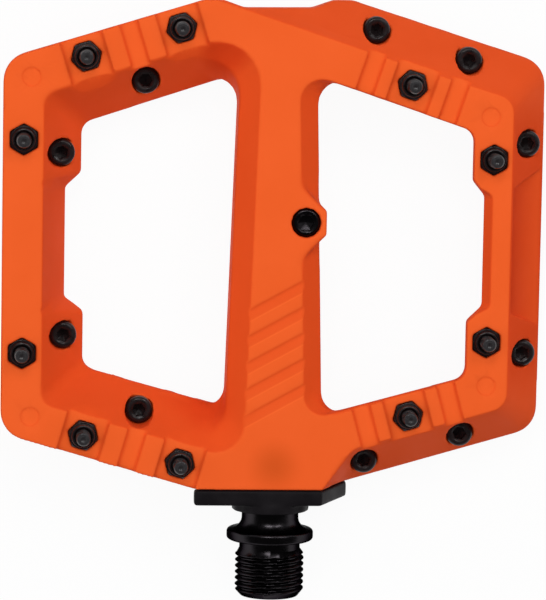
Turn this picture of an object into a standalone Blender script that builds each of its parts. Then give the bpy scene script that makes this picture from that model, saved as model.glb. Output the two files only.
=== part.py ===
"""Flat mountain bike pedal for the right crank: a moulded platform with through-screwed traction pins,
turning on a spindle with a plain bushing at the crank end and a cartridge bearing at the far end.

Frame: the origin is the centre of the crank seat on the spindle axis, +Y runs outboard along the spindle,
-X is the direction of travel and +Z is up. The platform is the same on both faces: a half turn about the
spindle brings it onto itself, apart from the boss of the retention screw.
"""

import math

import bmesh
import bpy
from mathutils import Matrix, Vector

MM = 0.001

# Platform: thickness
HALF_THICKNESS = 7.7 * MM
EDGE_BAND = 5.2 * MM  # height at which a slope ends on an upright edge

# Platform: half plan, measured from the spindle axis and the platform centre
HALF_WIDTH = 56.1 * MM
RAIL_FLAT = 8.2 * MM
RAIL_SLOPE = 5.5 * MM
RAIL_DRAFT = 1.6 * MM
FRONT_RELIEF = 0.75 * MM  # how much slimmer the front rail is between its bosses
OUTBOARD_APEX = 55.5 * MM
OUTBOARD_ANGLE = math.radians(17.3)
OUTBOARD_TAPER = math.radians(0.55)
OUTBOARD_FLAT = 9.0 * MM
OUTBOARD_SLOPE = 8.7 * MM
INBOARD_APEX = 54.45 * MM
INBOARD_ANGLE = math.radians(16.1)
INBOARD_TAPER = math.radians(-0.4)
INBOARD_FLAT = 8.85 * MM
INBOARD_SLOPE = 8.7 * MM
OUTBOARD_CUT = 6.5 * MM  # the outboard point is cut off this far from its apex
SHOULDER_RISE = 1.6 * MM
SHOULDER_START = 7.2 * MM
SHOULDER_PEAK = 11.8 * MM
INBOARD_CUT = 4.7 * MM
HUB_FLAT_REACH = 10.0 * MM
CORNER_RADIUS = 6.0 * MM
SLOPE_CORNER_RADIUS = 5.0 * MM  # where the slopes end on the upright edge
RIDGE_RADIUS = 4.0 * MM
SHOULDER_RADIUS = 2.5 * MM

# Spine: half widths at the platform centre and their growth per length towards the crank
SPINE_HALF = 8.98 * MM
SPINE_GROWTH = 0.027
SPINE_FLAT_HALF = 4.9 * MM
SPINE_FLAT_GROWTH = 0.0289
SPINE_BAND = 3.7 * MM  # height at which the spine's chamfers end
WINDOW_OUTBOARD_RADIUS = 4.3 * MM
WINDOW_INBOARD_RADIUS = 4.0 * MM
HUB_OUTBOARD_RADIUS = 8.5 * MM
HUB_INBOARD_RADIUS = 6.0 * MM
BOSS_RADIUS = 3.0 * MM
BOSS_STEP_RADIUS = 1.5 * MM
BOSS_WALL = 4.15 * MM  # pin axis to the window
BOSS_END = 14.4 * MM
BOSS_RUNOUT = 3.0 * MM

# Ribs and recesses
PAD_WIDTH = 8.8 * MM
STRIP_WIDTH = 3.8 * MM
STRIP_OFFSET = 9.0 * MM
PAD_DEPTH = 0.9 * MM
SCOOP_DEPTH = 1.3 * MM
SCOOP_HALF = 12.7 * MM
SCOOP_FLARE = 3.8 * MM
GROOVE_COUNT = 5
GROOVE_FIRST = -9.3 * MM
GROOVE_PITCH = 5.4 * MM
GROOVE_WIDTH = 2.2 * MM
GROOVE_DEPTH = 0.5 * MM
GROOVE_ANGLE = math.radians(29.0)

# Traction pins: places
PIN_INSET = 4.25 * MM  # outer pins, square to the platform's edge
INNER_PIN_INSET = 4.75 * MM  # inner pins on the beams, square to the window's edge
OUTER_PIN_OUTBOARD_X = (20.2 * MM, 39.4 * MM)
OUTER_PIN_INBOARD_X = (19.3 * MM, 39.2 * MM)
OUTER_PIN_RAIL_Y = 21.8 * MM
INNER_PIN_OUTBOARD_X = 27.1 * MM
INNER_PIN_INBOARD_X = 27.6 * MM
INNER_PIN_RAIL_Y = 18.8 * MM
INNER_PIN_OUTBOARD_SETBACK = 12.0 * MM  # from the platform's edge
INNER_PIN_INBOARD_SETBACK = 12.7 * MM

# Traction pins: screw and lock nut
PIN_RADIUS = 1.5 * MM
PIN_LENGTH = 10.0 * MM
PIN_CHAMFER = 0.45 * MM
HEAD_RADIUS = 2.75 * MM
HEAD_HEIGHT = 2.6 * MM
HEAD_TOP = 0.4 * MM  # above the spindle axis, on the head's own face
SOCKET_ACROSS = 2.5 * MM
SOCKET_DEPTH = 1.5 * MM
NUT_ACROSS = 5.5 * MM
NUT_HEX_HEIGHT = 2.7 * MM
NUT_HEIGHT = 4.0 * MM
NUT_CROWN_RADIUS = 2.35 * MM
NUT_WEB = 2.4 * MM  # platform between a head and its nut
NUT_TURN = math.pi / 2  # corners along the spindle

# Retention screw and its insert
RETENTION_X = 5.8 * MM
RETENTION_Y = 5.5 * MM
RETENTION_RADIUS = 2.0 * MM
RETENTION_HEAD_RADIUS = 2.95 * MM
RETENTION_HEAD_HEIGHT = 2.2 * MM
RETENTION_SINK = 0.4 * MM
RETENTION_SOCKET = 3.0 * MM
RETENTION_WALL = 1.1 * MM
RETENTION_BOSS_HALF = 2.5 * MM
RETENTION_BOSS_RADIUS = 1.2 * MM
INSERT_WALL = 0.8 * MM
INSERT_LENGTH = 4.5 * MM

# Spindle
THREAD_RADIUS = 7.144 * MM
THREAD_LENGTH = 9.5 * MM
RELIEF_RADIUS = 6.3 * MM
RELIEF_LENGTH = 2.3 * MM
FLANGE_RADIUS = 9.0 * MM
FLANGE_THICKNESS = 2.35 * MM
NECK_GAP = 3.8 * MM  # flange to the seal plate's collar
NECK_RADIUS = 5.9 * MM
JOURNAL_RADIUS = 4.85 * MM
SHAFT_RADIUS = 4.7 * MM
STUB_RADIUS = 3.0 * MM
STUB_SHOULDER = 3.5 * MM
KEY_ACROSS = 8.0 * MM
KEY_DEPTH = 6.0 * MM
EDGE_BREAK = 0.5 * MM
THREAD_CHAMFER = 0.9 * MM

# Seal plate, seal and bearings
PLATE_THICKNESS = 3.2 * MM
COLLAR_LENGTH = 1.9 * MM
COLLAR_WALL = 0.9 * MM
SPIGOT_LENGTH = 2.8 * MM
SEAL_WALL = 0.8 * MM
SEAL_WIDTH = 1.6 * MM
BUSH_WALL = 1.0 * MM
BUSH_LENGTH = 12.0 * MM
BEARING_SETBACK = 17.0 * MM  # the bearing's near face to the platform's outboard end
BEARING_WIDTH = 4.0 * MM
RACE_WALL = 0.7 * MM
RACE_GROOVE = 0.25 * MM
BALL_COUNT = 9
CAGE_RADIUS = 0.3 * MM
SHIELD_WIDTH = 0.4 * MM
SHIELD_INSET = 0.2 * MM

# Clearances
FIT = 0.15 * MM  # between pieces that stay together
RUN = 0.3 * MM  # between pieces that turn past each other
GROOVE_PLAY = 0.5 * MM  # retention screw to the walls of its groove
REACH = 2.0 * MM  # how far a cutter passes the face that it opens

FASTENER_SIDES = 12
ROUND_SIDES = 24
FILLET_STEPS = 6
STRAIGHT = math.radians(89.9)  # half of the angle at a corner that needs no arc

# Sizes that follow from the ones above
SLOPE_HEIGHT = HALF_THICKNESS + EDGE_BAND
OUTBOARD_END = OUTBOARD_APEX - OUTBOARD_CUT
INBOARD_END = INBOARD_APEX - INBOARD_CUT
HUB_VALLEY = INBOARD_CUT / math.tan(INBOARD_ANGLE)
BEARING_PLACE = OUTBOARD_END - BEARING_SETBACK
HEAD_SEAT = HEAD_HEIGHT - HEAD_TOP
NUT_SEAT = HEAD_SEAT + NUT_WEB
PIN_TIP = HEAD_SEAT + PIN_LENGTH
BUSH_BORE = JOURNAL_RADIUS + RUN
BUSH_RADIUS = BUSH_BORE + BUSH_WALL
BORE_RADIUS = BUSH_RADIUS + FIT
STUB_END = BEARING_PLACE + BEARING_WIDTH + 1.2 * MM
BORE_END = STUB_END + RUN
PLATE_OUTER = INBOARD_END + FIT + PLATE_THICKNESS
COLLAR_END = PLATE_OUTER + COLLAR_LENGTH
PLATFORM_CENTRE = COLLAR_END + NECK_GAP + FLANGE_THICKNESS  # crank seat to the middle of the pin pattern
SEAL_BORE = NECK_RADIUS + RUN
SEAL_RADIUS = SEAL_BORE + SEAL_WALL
HALF_TURN = Matrix.Rotation(math.pi, 4, "Y")

ORANGE = (0.87, 0.115, 0.022)
BLACK = (0.012, 0.012, 0.013)
STEEL = (0.55, 0.55, 0.57)
SAND = (0.55, 0.43, 0.26)
BRASS = (0.66, 0.45, 0.16)


def clear_scene():
    for obj in list(bpy.data.objects):
        bpy.data.objects.remove(obj)


def finish(name, colour, roughness, metallic=0.0):
    """A Principled material for one kind of piece."""
    material = bpy.data.materials.new(name)
    material.use_nodes = True
    shader = material.node_tree.nodes["Principled BSDF"]
    shader.inputs["Base Color"].default_value = (*colour, 1.0)
    shader.inputs["Roughness"].default_value = roughness
    shader.inputs["Metallic"].default_value = metallic
    return material


def mesh_from(shape, name):
    mesh = bpy.data.meshes.new(name)
    shape.to_mesh(mesh)
    shape.free()
    return mesh


def place(name, mesh, material, parent, turn=None):
    """One named piece under its parent empty."""
    obj = bpy.data.objects.new(name, mesh)
    bpy.context.scene.collection.objects.link(obj)
    obj.parent = parent
    if turn is not None:
        obj.matrix_local = turn
    if not mesh.materials:
        mesh.materials.append(material)
        mesh.shade_smooth()
        mesh.set_sharp_from_angle(angle=math.radians(35))
    return obj


def anchor(name, y):
    """An empty on the spindle axis that carries the pieces of one moving body."""
    empty = bpy.data.objects.new(name, None)
    bpy.context.scene.collection.objects.link(empty)
    empty.location = (0, y, 0)
    return empty


def loft(loops, ring=False):
    """A closed solid through loops of equally many points. A ring also joins its last loop to its first."""
    shape = bmesh.new()
    rows = [[shape.verts.new(point) for point in loop] for loop in loops]
    pairs = list(zip(rows, rows[1:]))
    if ring:
        pairs.append((rows[-1], rows[0]))
    else:
        shape.faces.new(rows[0])
        shape.faces.new(rows[-1])
    for first, second in pairs:
        for i in range(len(first)):
            j = (i + 1) % len(first)
            shape.faces.new((first[i], first[j], second[j], second[i]))
    bmesh.ops.recalc_face_normals(shape, faces=shape.faces)
    return shape


def joined(shapes):
    """Several separate solids as one mesh, for use as a cutter."""
    whole = bmesh.new()
    for shape in shapes:
        mesh = mesh_from(shape, "piece")
        whole.from_mesh(mesh)
        bpy.data.meshes.remove(mesh)
    return whole


def both_faces(shapes):
    """The shapes, and their copies half a turn about the spindle."""
    result = []
    for shape in shapes:
        twin = shape.copy()
        bmesh.ops.transform(twin, matrix=HALF_TURN, verts=twin.verts)
        result += [shape, twin]
    return result


def combine(obj, shape, operation):
    """Applies a Boolean with the shape to the object."""
    bmesh.ops.triangulate(shape, faces=shape.faces)
    cutter = bpy.data.objects.new("cutter", mesh_from(shape, "cutter"))
    bpy.context.scene.collection.objects.link(cutter)
    cutter.parent = obj.parent
    cutter.hide_render = True
    cutter.display_type = "WIRE"
    modifier = obj.modifiers.new("combine", "BOOLEAN")
    modifier.operation = operation
    modifier.object = cutter
    graph = bpy.context.evaluated_depsgraph_get()
    result = bpy.data.meshes.new_from_object(obj.evaluated_get(graph))
    obj.modifiers.clear()
    obj.data = result
    bpy.data.objects.remove(cutter)


def circle(radius, height, angles, axis="Z"):
    """A loop of points round the Z axis at a height, or round the Y axis at a station."""
    flat = [(radius * math.cos(a), radius * math.sin(a)) for a in angles]
    if axis == "Z":
        return [Vector((u, v, height)) for u, v in flat]
    return [Vector((v, height, u)) for u, v in flat]


def polygon_radius(across, sides, angle):
    """Distance from the centre of a regular polygon to its edge, with a corner at angle 0."""
    step = 2 * math.pi / sides
    return across / 2 / math.cos((angle % step) - step / 2)


def hexagon(across, height, angles, axis="Z", turn=0.0):
    loop = []
    for a in angles:
        loop += circle(polygon_radius(across, 6, a - turn), height, [a], axis)
    return loop


def even_angles(count):
    return [2 * math.pi * i / count for i in range(count)]


def turned(profile, sides=ROUND_SIDES, ring=False):
    """A solid of revolution about Y through (radius, station) points."""
    angles = even_angles(sides)
    return loft([circle(radius, y, angles, "Y") for radius, y in profile], ring)


def rounded(corners):
    """A closed outline through (point, radius) corners: an arc of FILLET_STEPS chords, or a sharp corner."""
    outline = []
    for i, (corner, radius) in enumerate(corners):
        if radius == 0:
            outline.append(corner)
            continue
        before = (corners[i - 1][0] - corner).normalized()
        after = (corners[(i + 1) % len(corners)][0] - corner).normalized()
        half = before.angle(after) / 2
        if half > STRAIGHT:
            outline += [corner + after * radius * (i / FILLET_STEPS - 0.5) for i in range(FILLET_STEPS + 1)]
            continue
        reach = radius / math.tan(half)
        centre = corner + (before + after).normalized() * radius / math.sin(half)
        start = corner + before * reach - centre
        end = corner + after * reach - centre
        sweep = start.angle_signed(end)
        for step in range(FILLET_STEPS + 1):
            outline.append(centre + Matrix.Rotation(-sweep * step / FILLET_STEPS, 2) @ start)
    return outline


def edge_point(outline, angle):
    """The point of a convex outline in the direction of an angle, measured from its second axis."""
    ray = Vector((math.sin(angle), math.cos(angle)))
    reaches = []
    for a, b in zip(outline, outline[1:] + outline[:1]):
        facing = Vector((b.y - a.y, a.x - b.x))
        if facing.dot(a) < 0:
            facing.negate()
        if facing.dot(ray) > 0:
            reaches.append(facing.dot(a) / facing.dot(ray))
    return ray * min(reaches)


def at_height(outline, z):
    return [Vector((p.x, p.y, z)) for p in outline]


def between(first, second, share):
    """The outline part of the way from one outline to another, beyond them where share is outside 0 to 1."""
    return [a.lerp(b, share) if 0 <= share <= 1 else a + (b - a) * share for a, b in zip(first, second)]


class Edge:
    """One of the platform's three nested outlines: a rail line and two beam lines that meet at the middle."""

    def __init__(self, rail, outboard, outboard_angle, inboard, inboard_angle):
        self.rail = rail
        self.outboard_apex = outboard
        self.outboard_slope = math.tan(outboard_angle)
        self.inboard_apex = inboard
        self.inboard_slope = math.tan(inboard_angle)

    def outboard(self, x):
        return Vector((x, self.outboard_apex - self.outboard_slope * x))

    def inboard(self, x):
        return Vector((x, self.inboard_slope * x - self.inboard_apex))

    def outboard_at(self, y):
        return (self.outboard_apex - y) / self.outboard_slope

    def inboard_at(self, y):
        return (self.inboard_apex + y) / self.inboard_slope


OUTER = Edge(HALF_WIDTH, OUTBOARD_APEX, OUTBOARD_ANGLE, INBOARD_APEX, INBOARD_ANGLE)
RIDGE = Edge(
    HALF_WIDTH - RAIL_FLAT,
    OUTBOARD_APEX - OUTBOARD_FLAT,
    OUTBOARD_ANGLE + OUTBOARD_TAPER,
    INBOARD_APEX - INBOARD_FLAT,
    INBOARD_ANGLE + INBOARD_TAPER,
)
WINDOW = Edge(
    RIDGE.rail - RAIL_SLOPE,
    RIDGE.outboard_apex - OUTBOARD_SLOPE,
    OUTBOARD_ANGLE + 2 * OUTBOARD_TAPER,
    RIDGE.inboard_apex - INBOARD_SLOPE,
    INBOARD_ANGLE + 2 * INBOARD_TAPER,
)


def pin_places():
    """(x, y) of the outer and inner pins of one half."""
    outer, inner = [], []
    outboard_inset = PIN_INSET / math.cos(OUTBOARD_ANGLE)
    inboard_inset = PIN_INSET / math.cos(INBOARD_ANGLE)
    rail_x = HALF_WIDTH - PIN_INSET
    for x in OUTER_PIN_OUTBOARD_X:
        outer.append((x, OUTER.outboard(x).y - outboard_inset))
    outer += [(rail_x, OUTER_PIN_RAIL_Y), (rail_x, -OUTER_PIN_RAIL_Y)]
    for x in reversed(OUTER_PIN_INBOARD_X):
        outer.append((x, OUTER.inboard(x).y + inboard_inset))
    outboard_inset = INNER_PIN_INSET / math.cos(math.atan(WINDOW.outboard_slope))
    inboard_inset = INNER_PIN_INSET / math.cos(math.atan(WINDOW.inboard_slope))
    inner.append((INNER_PIN_OUTBOARD_X, WINDOW.outboard(INNER_PIN_OUTBOARD_X).y + outboard_inset))
    inner.append((HALF_WIDTH - INNER_PIN_OUTBOARD_SETBACK, INNER_PIN_RAIL_Y))
    inner.append((HALF_WIDTH - INNER_PIN_INBOARD_SETBACK, -INNER_PIN_RAIL_Y))
    inner.append((INNER_PIN_INBOARD_X, WINDOW.inboard(INNER_PIN_INBOARD_X).y - inboard_inset))
    return outer, inner


def outer_outline():
    """The platform's plan, largest at the upright edges."""
    shoulder = OUTBOARD_END + SHOULDER_RISE
    right = [
        (Vector((SHOULDER_START, OUTBOARD_END)), SHOULDER_RADIUS),
        (Vector((SHOULDER_PEAK, shoulder)), SHOULDER_RADIUS),
        (Vector((OUTER.outboard_at(shoulder), shoulder)), SHOULDER_RADIUS),
        (Vector((OUTER.rail, OUTER.outboard(OUTER.rail).y)), CORNER_RADIUS),
        (Vector((OUTER.rail, OUTER.inboard(OUTER.rail).y)), CORNER_RADIUS),
        (Vector((HUB_VALLEY, -INBOARD_END)), 0.0),
    ]
    left = [(Vector((-corner.x, corner.y)), radius) for corner, radius in reversed(right)]
    return rounded(right + left)


def envelope():
    """Everything under the slopes round the rear half of the upper face."""

    def ring(edge, hub, radius):
        far = -2 * HALF_WIDTH
        valley = Vector((HUB_VALLEY, RIDGE.inboard(HUB_VALLEY).y))
        facet = Vector((HUB_FLAT_REACH, -INBOARD_END)) - valley
        corners = [
            (edge.outboard(far), 0.0),
            (edge.outboard(edge.rail), radius),
            (edge.inboard(edge.rail), radius),
            (hub, RIDGE_RADIUS),
            (hub + facet * 2, 0.0),
            (Vector((far, -HALF_WIDTH * 2)), 0.0),
        ]
        return rounded(corners)

    top = ring(RIDGE, RIDGE.inboard(HUB_VALLEY), RIDGE_RADIUS)
    edge = ring(OUTER, Vector((HUB_VALLEY, -INBOARD_END)), SLOPE_CORNER_RADIUS)
    over = -REACH / SLOPE_HEIGHT
    under = 1 + (HALF_THICKNESS - EDGE_BAND + REACH) / SLOPE_HEIGHT
    return loft(
        [
            at_height(between(top, edge, over), HALF_THICKNESS + REACH),
            at_height(between(top, edge, under), -HALF_THICKNESS - REACH),
        ]
    )


def spine_side(y):
    return SPINE_HALF - SPINE_GROWTH * y


def spine_flat(y):
    return SPINE_FLAT_HALF - SPINE_FLAT_GROWTH * y


def window_outline(edge, side, rail, bosses, radii, retention):
    """One level of a window, on the +X side: spine, outboard beam, rail with its two bosses, inboard beam."""
    runout = BOSS_END - BOSS_RUNOUT
    outboard, inboard = bosses
    corners = [
        (edge.inboard(side(-edge.inboard_apex)), radii[1]),
        (edge.outboard(side(edge.outboard_apex)), radii[0]),
        (edge.outboard(outboard), BOSS_RADIUS),
        (Vector((outboard, BOSS_END)), BOSS_STEP_RADIUS),
        (Vector((rail, runout)), BOSS_STEP_RADIUS),
        (Vector((rail, -runout)), BOSS_STEP_RADIUS),
        (Vector((inboard, -BOSS_END)), BOSS_STEP_RADIUS),
        (edge.inboard(inboard), BOSS_RADIUS),
    ]
    if retention:
        reach = RETENTION_X + RETENTION_HEAD_RADIUS + FIT + RETENTION_WALL
        foot = RETENTION_BOSS_HALF + reach - side(RETENTION_Y)
        corners[1:1] = [
            (Vector((side(RETENTION_Y - foot), RETENTION_Y - foot)), 0.0),
            (Vector((reach, RETENTION_Y - RETENTION_BOSS_HALF)), RETENTION_BOSS_RADIUS),
            (Vector((reach, RETENTION_Y + RETENTION_BOSS_HALF)), RETENTION_BOSS_RADIUS),
            (Vector((side(RETENTION_Y + foot), RETENTION_Y + foot)), 0.0),
        ]
    return rounded(corners)


def window(relief, retention):
    """The space of one window on the +X side: upright from the upper face, flaring under the slopes below.

    Two things change with height: the beams' and the rail's edge moves out to the ridge, and the spine's
    chamfers open towards both faces.
    """
    rail = WINDOW.rail + relief
    bosses = (
        HALF_WIDTH - INNER_PIN_OUTBOARD_SETBACK - BOSS_WALL,
        HALF_WIDTH - INNER_PIN_INBOARD_SETBACK - BOSS_WALL,
    )
    window_radii = (WINDOW_OUTBOARD_RADIUS, WINDOW_INBOARD_RADIUS)
    ridge_radii = (HUB_OUTBOARD_RADIUS, HUB_INBOARD_RADIUS)
    straight = (RIDGE.rail, RIDGE.rail)

    def level(z):
        slope = max(0.0, (EDGE_BAND - z) / SLOPE_HEIGHT)
        draft = RAIL_DRAFT * max(0.0, (z - EDGE_BAND) / (HALF_THICKNESS - EDGE_BAND))
        chamfer = min(1.0, (HALF_THICKNESS - abs(z)) / (HALF_THICKNESS - SPINE_BAND))
        outlines = []
        for side in (spine_flat, spine_side):
            edge = window_outline(WINDOW, side, rail + draft, bosses, window_radii, retention)
            ridge = window_outline(RIDGE, side, RIDGE.rail, straight, ridge_radii, retention)
            outlines.append(between(edge, ridge, slope))
        return at_height(between(*outlines, chamfer), z)

    clear = HALF_THICKNESS + REACH
    return loft([level(z) for z in (clear, EDGE_BAND, SPINE_BAND, -SPINE_BAND, -clear)])


def block(centre, direction, along, near, far, floor):
    """A straight-sided recess: along a beam, from near to far across it, open above its floor."""
    u = Vector(direction).normalized()
    v = Vector((-u.y, u.x))
    middle = Vector(centre)
    plan = [middle + u * a + v * b for a, b in ((-along, near), (along, near), (along, far), (-along, far))]
    return loft([at_height(plan, floor), at_height(plan, HALF_THICKNESS + REACH)])


def recesses():
    """Pads round the nuts of the beams and the strips between them, on the upper face."""
    outer, inner = pin_places()
    floor = HALF_THICKNESS - PAD_DEPTH
    shapes = []
    pad, strip = PAD_WIDTH / 2, STRIP_WIDTH / 2
    for first, second, width, sign in ((0, 1, OUTBOARD_FLAT, -1), (5, 4, INBOARD_FLAT, 1)):
        a = Vector((-outer[first][0], outer[first][1]))
        b = Vector((-outer[second][0], outer[second][1]))
        across = sorted((-sign * (PIN_INSET + REACH), sign * (width - PIN_INSET + REACH)))
        for centre, half in ((a, pad), (b, pad), ((a + b) / 2, strip)):
            shapes.append(block(centre, a - b, half, *across, floor))
    for index, width, slope, sign in (
        (0, OUTBOARD_SLOPE, -WINDOW.outboard_slope, 1),
        (3, INBOARD_SLOPE, WINDOW.inboard_slope, -1),
    ):
        nut = Vector(inner[index])
        u = Vector((1, slope)).normalized()
        across = sorted((-sign * (INNER_PIN_INSET + REACH), sign * (width - INNER_PIN_INSET + REACH)))
        for shift, half in ((0, pad), (-STRIP_OFFSET, strip), (STRIP_OFFSET, strip)):
            shapes.append(block(nut + u * shift, u, half, *across, floor))
    return shapes


def scoop():
    """The hollow in the rail's outer slope between its two screws, on the upper face of the rear rail."""
    start = Vector((RIDGE.rail + FIT, HALF_THICKNESS))
    end = Vector((OUTER.rail, -EDGE_BAND + FIT))
    normal = Vector((start.y - end.y, end.x - start.x)).normalized()
    section = []
    for step in range(FILLET_STEPS * 2 + 1):
        share = step / (FILLET_STEPS * 2)
        section.append(start.lerp(end, share) - normal * SCOOP_DEPTH * math.sin(math.pi * share))
    section += [end + normal * REACH * 3, start + normal * REACH * 3]

    def cap(sign):
        loop = []
        for p in section:
            y = SCOOP_HALF + SCOOP_FLARE * (p.x - RIDGE.rail) / RAIL_FLAT
            loop.append(Vector((p.x, sign * y, p.y)))
        return loop

    return loft([cap(-1), cap(1)])


def grooves():
    """Saw-tooth lines across the spine: an upright step, then a ramp back to the face."""
    shapes = []
    half = SPINE_HALF
    rise = math.tan(GROOVE_ANGLE)
    width = GROOVE_WIDTH / math.cos(GROOVE_ANGLE)
    above = GROOVE_DEPTH * REACH / GROOVE_WIDTH
    for i in range(GROOVE_COUNT):
        step = GROOVE_FIRST - GROOVE_PITCH * i
        section = [
            (step, HALF_THICKNESS + above),
            (step, HALF_THICKNESS - GROOVE_DEPTH),
            (step - width, HALF_THICKNESS),
            (step - width - REACH / math.cos(GROOVE_ANGLE), HALF_THICKNESS + above),
        ]
        shapes.append(loft([[Vector((x, y + x * rise, z)) for y, z in section] for x in (-half, half)]))
    return shapes


def pin_hole(x, y):
    """Counterbore below, clearance hole and hexagon pocket above, for one pin with its nut on the upper face."""
    angles = even_angles(FASTENER_SIDES)
    counterbore = HEAD_RADIUS + RUN
    pocket = NUT_ACROSS + 2 * RUN
    shape = loft(
        [
            circle(counterbore, -HALF_THICKNESS - REACH, angles),
            circle(counterbore, HEAD_SEAT + FIT, angles),
            circle(PIN_RADIUS + FIT, HEAD_SEAT + FIT, angles),
            circle(PIN_RADIUS + FIT, NUT_SEAT - FIT, angles),
            hexagon(pocket, NUT_SEAT - FIT, angles, turn=NUT_TURN),
            hexagon(pocket, HALF_THICKNESS + REACH, angles, turn=NUT_TURN),
        ]
    )
    bmesh.ops.translate(shape, vec=(x, y, 0), verts=shape.verts)
    return shape


def pin_seats():
    """(name, x, y) of the pins whose nuts are on the upper face: outer in front, inner behind."""
    outer, inner = pin_places()
    seats = [(f"front_outer_{i}", -x, y) for i, (x, y) in enumerate(outer, 1)]
    seats += [(f"rear_inner_{i}", x, y) for i, (x, y) in enumerate(inner, 1)]
    return seats


def retention_hole():
    """Counterbore for the head, clearance hole past the spindle and the insert's seat below."""
    angles = even_angles(ROUND_SIDES // 2)
    seat = HALF_THICKNESS - RETENTION_SINK - RETENTION_HEAD_HEIGHT - FIT
    counterbore = RETENTION_HEAD_RADIUS + FIT
    pocket = RETENTION_RADIUS + FIT + INSERT_WALL + FIT
    step = -HALF_THICKNESS + INSERT_LENGTH + 2 * FIT
    profile = [
        (counterbore, HALF_THICKNESS + REACH),
        (counterbore, seat),
        (RETENTION_RADIUS + FIT, seat),
        (RETENTION_RADIUS + FIT, step),
        (pocket, step),
        (pocket, -HALF_THICKNESS - REACH),
    ]
    shape = loft([circle(radius, z, angles) for radius, z in profile])
    bmesh.ops.translate(shape, vec=(RETENTION_X, RETENTION_Y, 0), verts=shape.verts)
    return shape


def spindle_bore():
    """The blind bore that takes the bushing, the bearing and the end of the spindle."""
    tip = STUB_RADIUS + RUN
    return turned([(BORE_RADIUS, -INBOARD_END - REACH), (BORE_RADIUS, BORE_END - RUN), (tip, BORE_END - RUN),
                   (tip, BORE_END)])


def make_platform(material, parent):
    outline = outer_outline()
    blank = loft([at_height(outline, -HALF_THICKNESS), at_height(outline, HALF_THICKNESS)])
    platform = place("platform", mesh_from(blank, "platform"), material, parent)
    upper = envelope()
    lower = envelope()
    bmesh.ops.transform(lower, matrix=HALF_TURN, verts=lower.verts)
    combine(platform, upper, "INTERSECT")
    combine(platform, lower, "INTERSECT")
    combine(platform, joined(both_faces([scoop()])), "DIFFERENCE")
    front = window(FRONT_RELIEF, False)
    bmesh.ops.transform(front, matrix=HALF_TURN, verts=front.verts)
    combine(platform, joined([window(0.0, True), front]), "DIFFERENCE")
    combine(platform, joined(both_faces(recesses())), "DIFFERENCE")
    combine(platform, joined(both_faces(grooves())), "DIFFERENCE")
    holes = [pin_hole(x, y) for _, x, y in pin_seats()]
    combine(platform, joined(both_faces(holes)), "DIFFERENCE")
    combine(platform, spindle_bore(), "DIFFERENCE")
    combine(platform, retention_hole(), "DIFFERENCE")


def pin_mesh():
    """Socket head screw, head below and chamfered end above."""
    angles = even_angles(FASTENER_SIDES)
    top = -HEAD_TOP
    return mesh_from(
        loft(
            [
                hexagon(SOCKET_ACROSS, top + SOCKET_DEPTH, angles),
                hexagon(SOCKET_ACROSS, top, angles),
                circle(HEAD_RADIUS - PIN_CHAMFER, top, angles),
                circle(HEAD_RADIUS, top + PIN_CHAMFER, angles),
                circle(HEAD_RADIUS, HEAD_SEAT, angles),
                circle(PIN_RADIUS, HEAD_SEAT, angles),
                circle(PIN_RADIUS, PIN_TIP - PIN_CHAMFER, angles),
                circle(PIN_RADIUS - PIN_CHAMFER, PIN_TIP, angles),
            ]
        ),
        "pin",
    )


def nut_mesh():
    """Hexagon nut with a round crown that holds its locking ring."""
    angles = even_angles(FASTENER_SIDES)
    bore = PIN_RADIUS + FIT
    top = NUT_SEAT + NUT_HEIGHT
    return mesh_from(
        loft(
            [
                circle(bore, NUT_SEAT, angles),
                hexagon(NUT_ACROSS, NUT_SEAT, angles, turn=NUT_TURN),
                hexagon(NUT_ACROSS, NUT_SEAT + NUT_HEX_HEIGHT, angles, turn=NUT_TURN),
                circle(NUT_CROWN_RADIUS, NUT_SEAT + NUT_HEX_HEIGHT, angles),
                circle(NUT_CROWN_RADIUS, top, angles),
                circle(bore, top, angles),
            ],
            ring=True,
        ),
        "nut",
    )


def make_pins(material, parent):
    pin, nut = pin_mesh(), nut_mesh()
    twin = {"front": "rear", "rear": "front"}
    for name, x, y in pin_seats():
        side, row = name.split("_", 1)
        spot = Matrix.Translation((x, y, 0))
        for label, matrix in ((f"{side}_{row}_upper", spot), (f"{twin[side]}_{row}_lower", HALF_TURN @ spot)):
            place(f"pin_{label}", pin, material, parent, matrix)
            place(f"nut_{label}", nut, material, parent, matrix)


def make_retention(screw_finish, insert_finish, parent):
    angles = even_angles(FASTENER_SIDES)
    top = HALF_THICKNESS - RETENTION_SINK
    seat = top - RETENTION_HEAD_HEIGHT
    end = -HALF_THICKNESS + RETENTION_SINK + FIT
    screw = loft(
        [
            hexagon(RETENTION_SOCKET, seat + PIN_CHAMFER, angles),
            hexagon(RETENTION_SOCKET, top, angles),
            circle(RETENTION_HEAD_RADIUS - PIN_CHAMFER, top, angles),
            circle(RETENTION_HEAD_RADIUS, top - PIN_CHAMFER, angles),
            circle(RETENTION_HEAD_RADIUS, seat, angles),
            circle(RETENTION_RADIUS, seat, angles),
            circle(RETENTION_RADIUS, end, angles),
        ]
    )
    bore = RETENTION_RADIUS + FIT
    low = -HALF_THICKNESS + FIT
    insert = loft(
        [
            circle(bore, low, angles),
            circle(bore + INSERT_WALL, low, angles),
            circle(bore + INSERT_WALL, low + INSERT_LENGTH, angles),
            circle(bore, low + INSERT_LENGTH, angles),
        ],
        ring=True,
    )
    spot = Matrix.Translation((RETENTION_X, RETENTION_Y, 0))
    place("retention_screw", mesh_from(screw, "retention_screw"), screw_finish, parent, spot)
    place("retention_insert", mesh_from(insert, "retention_insert"), insert_finish, parent, spot)


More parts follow.
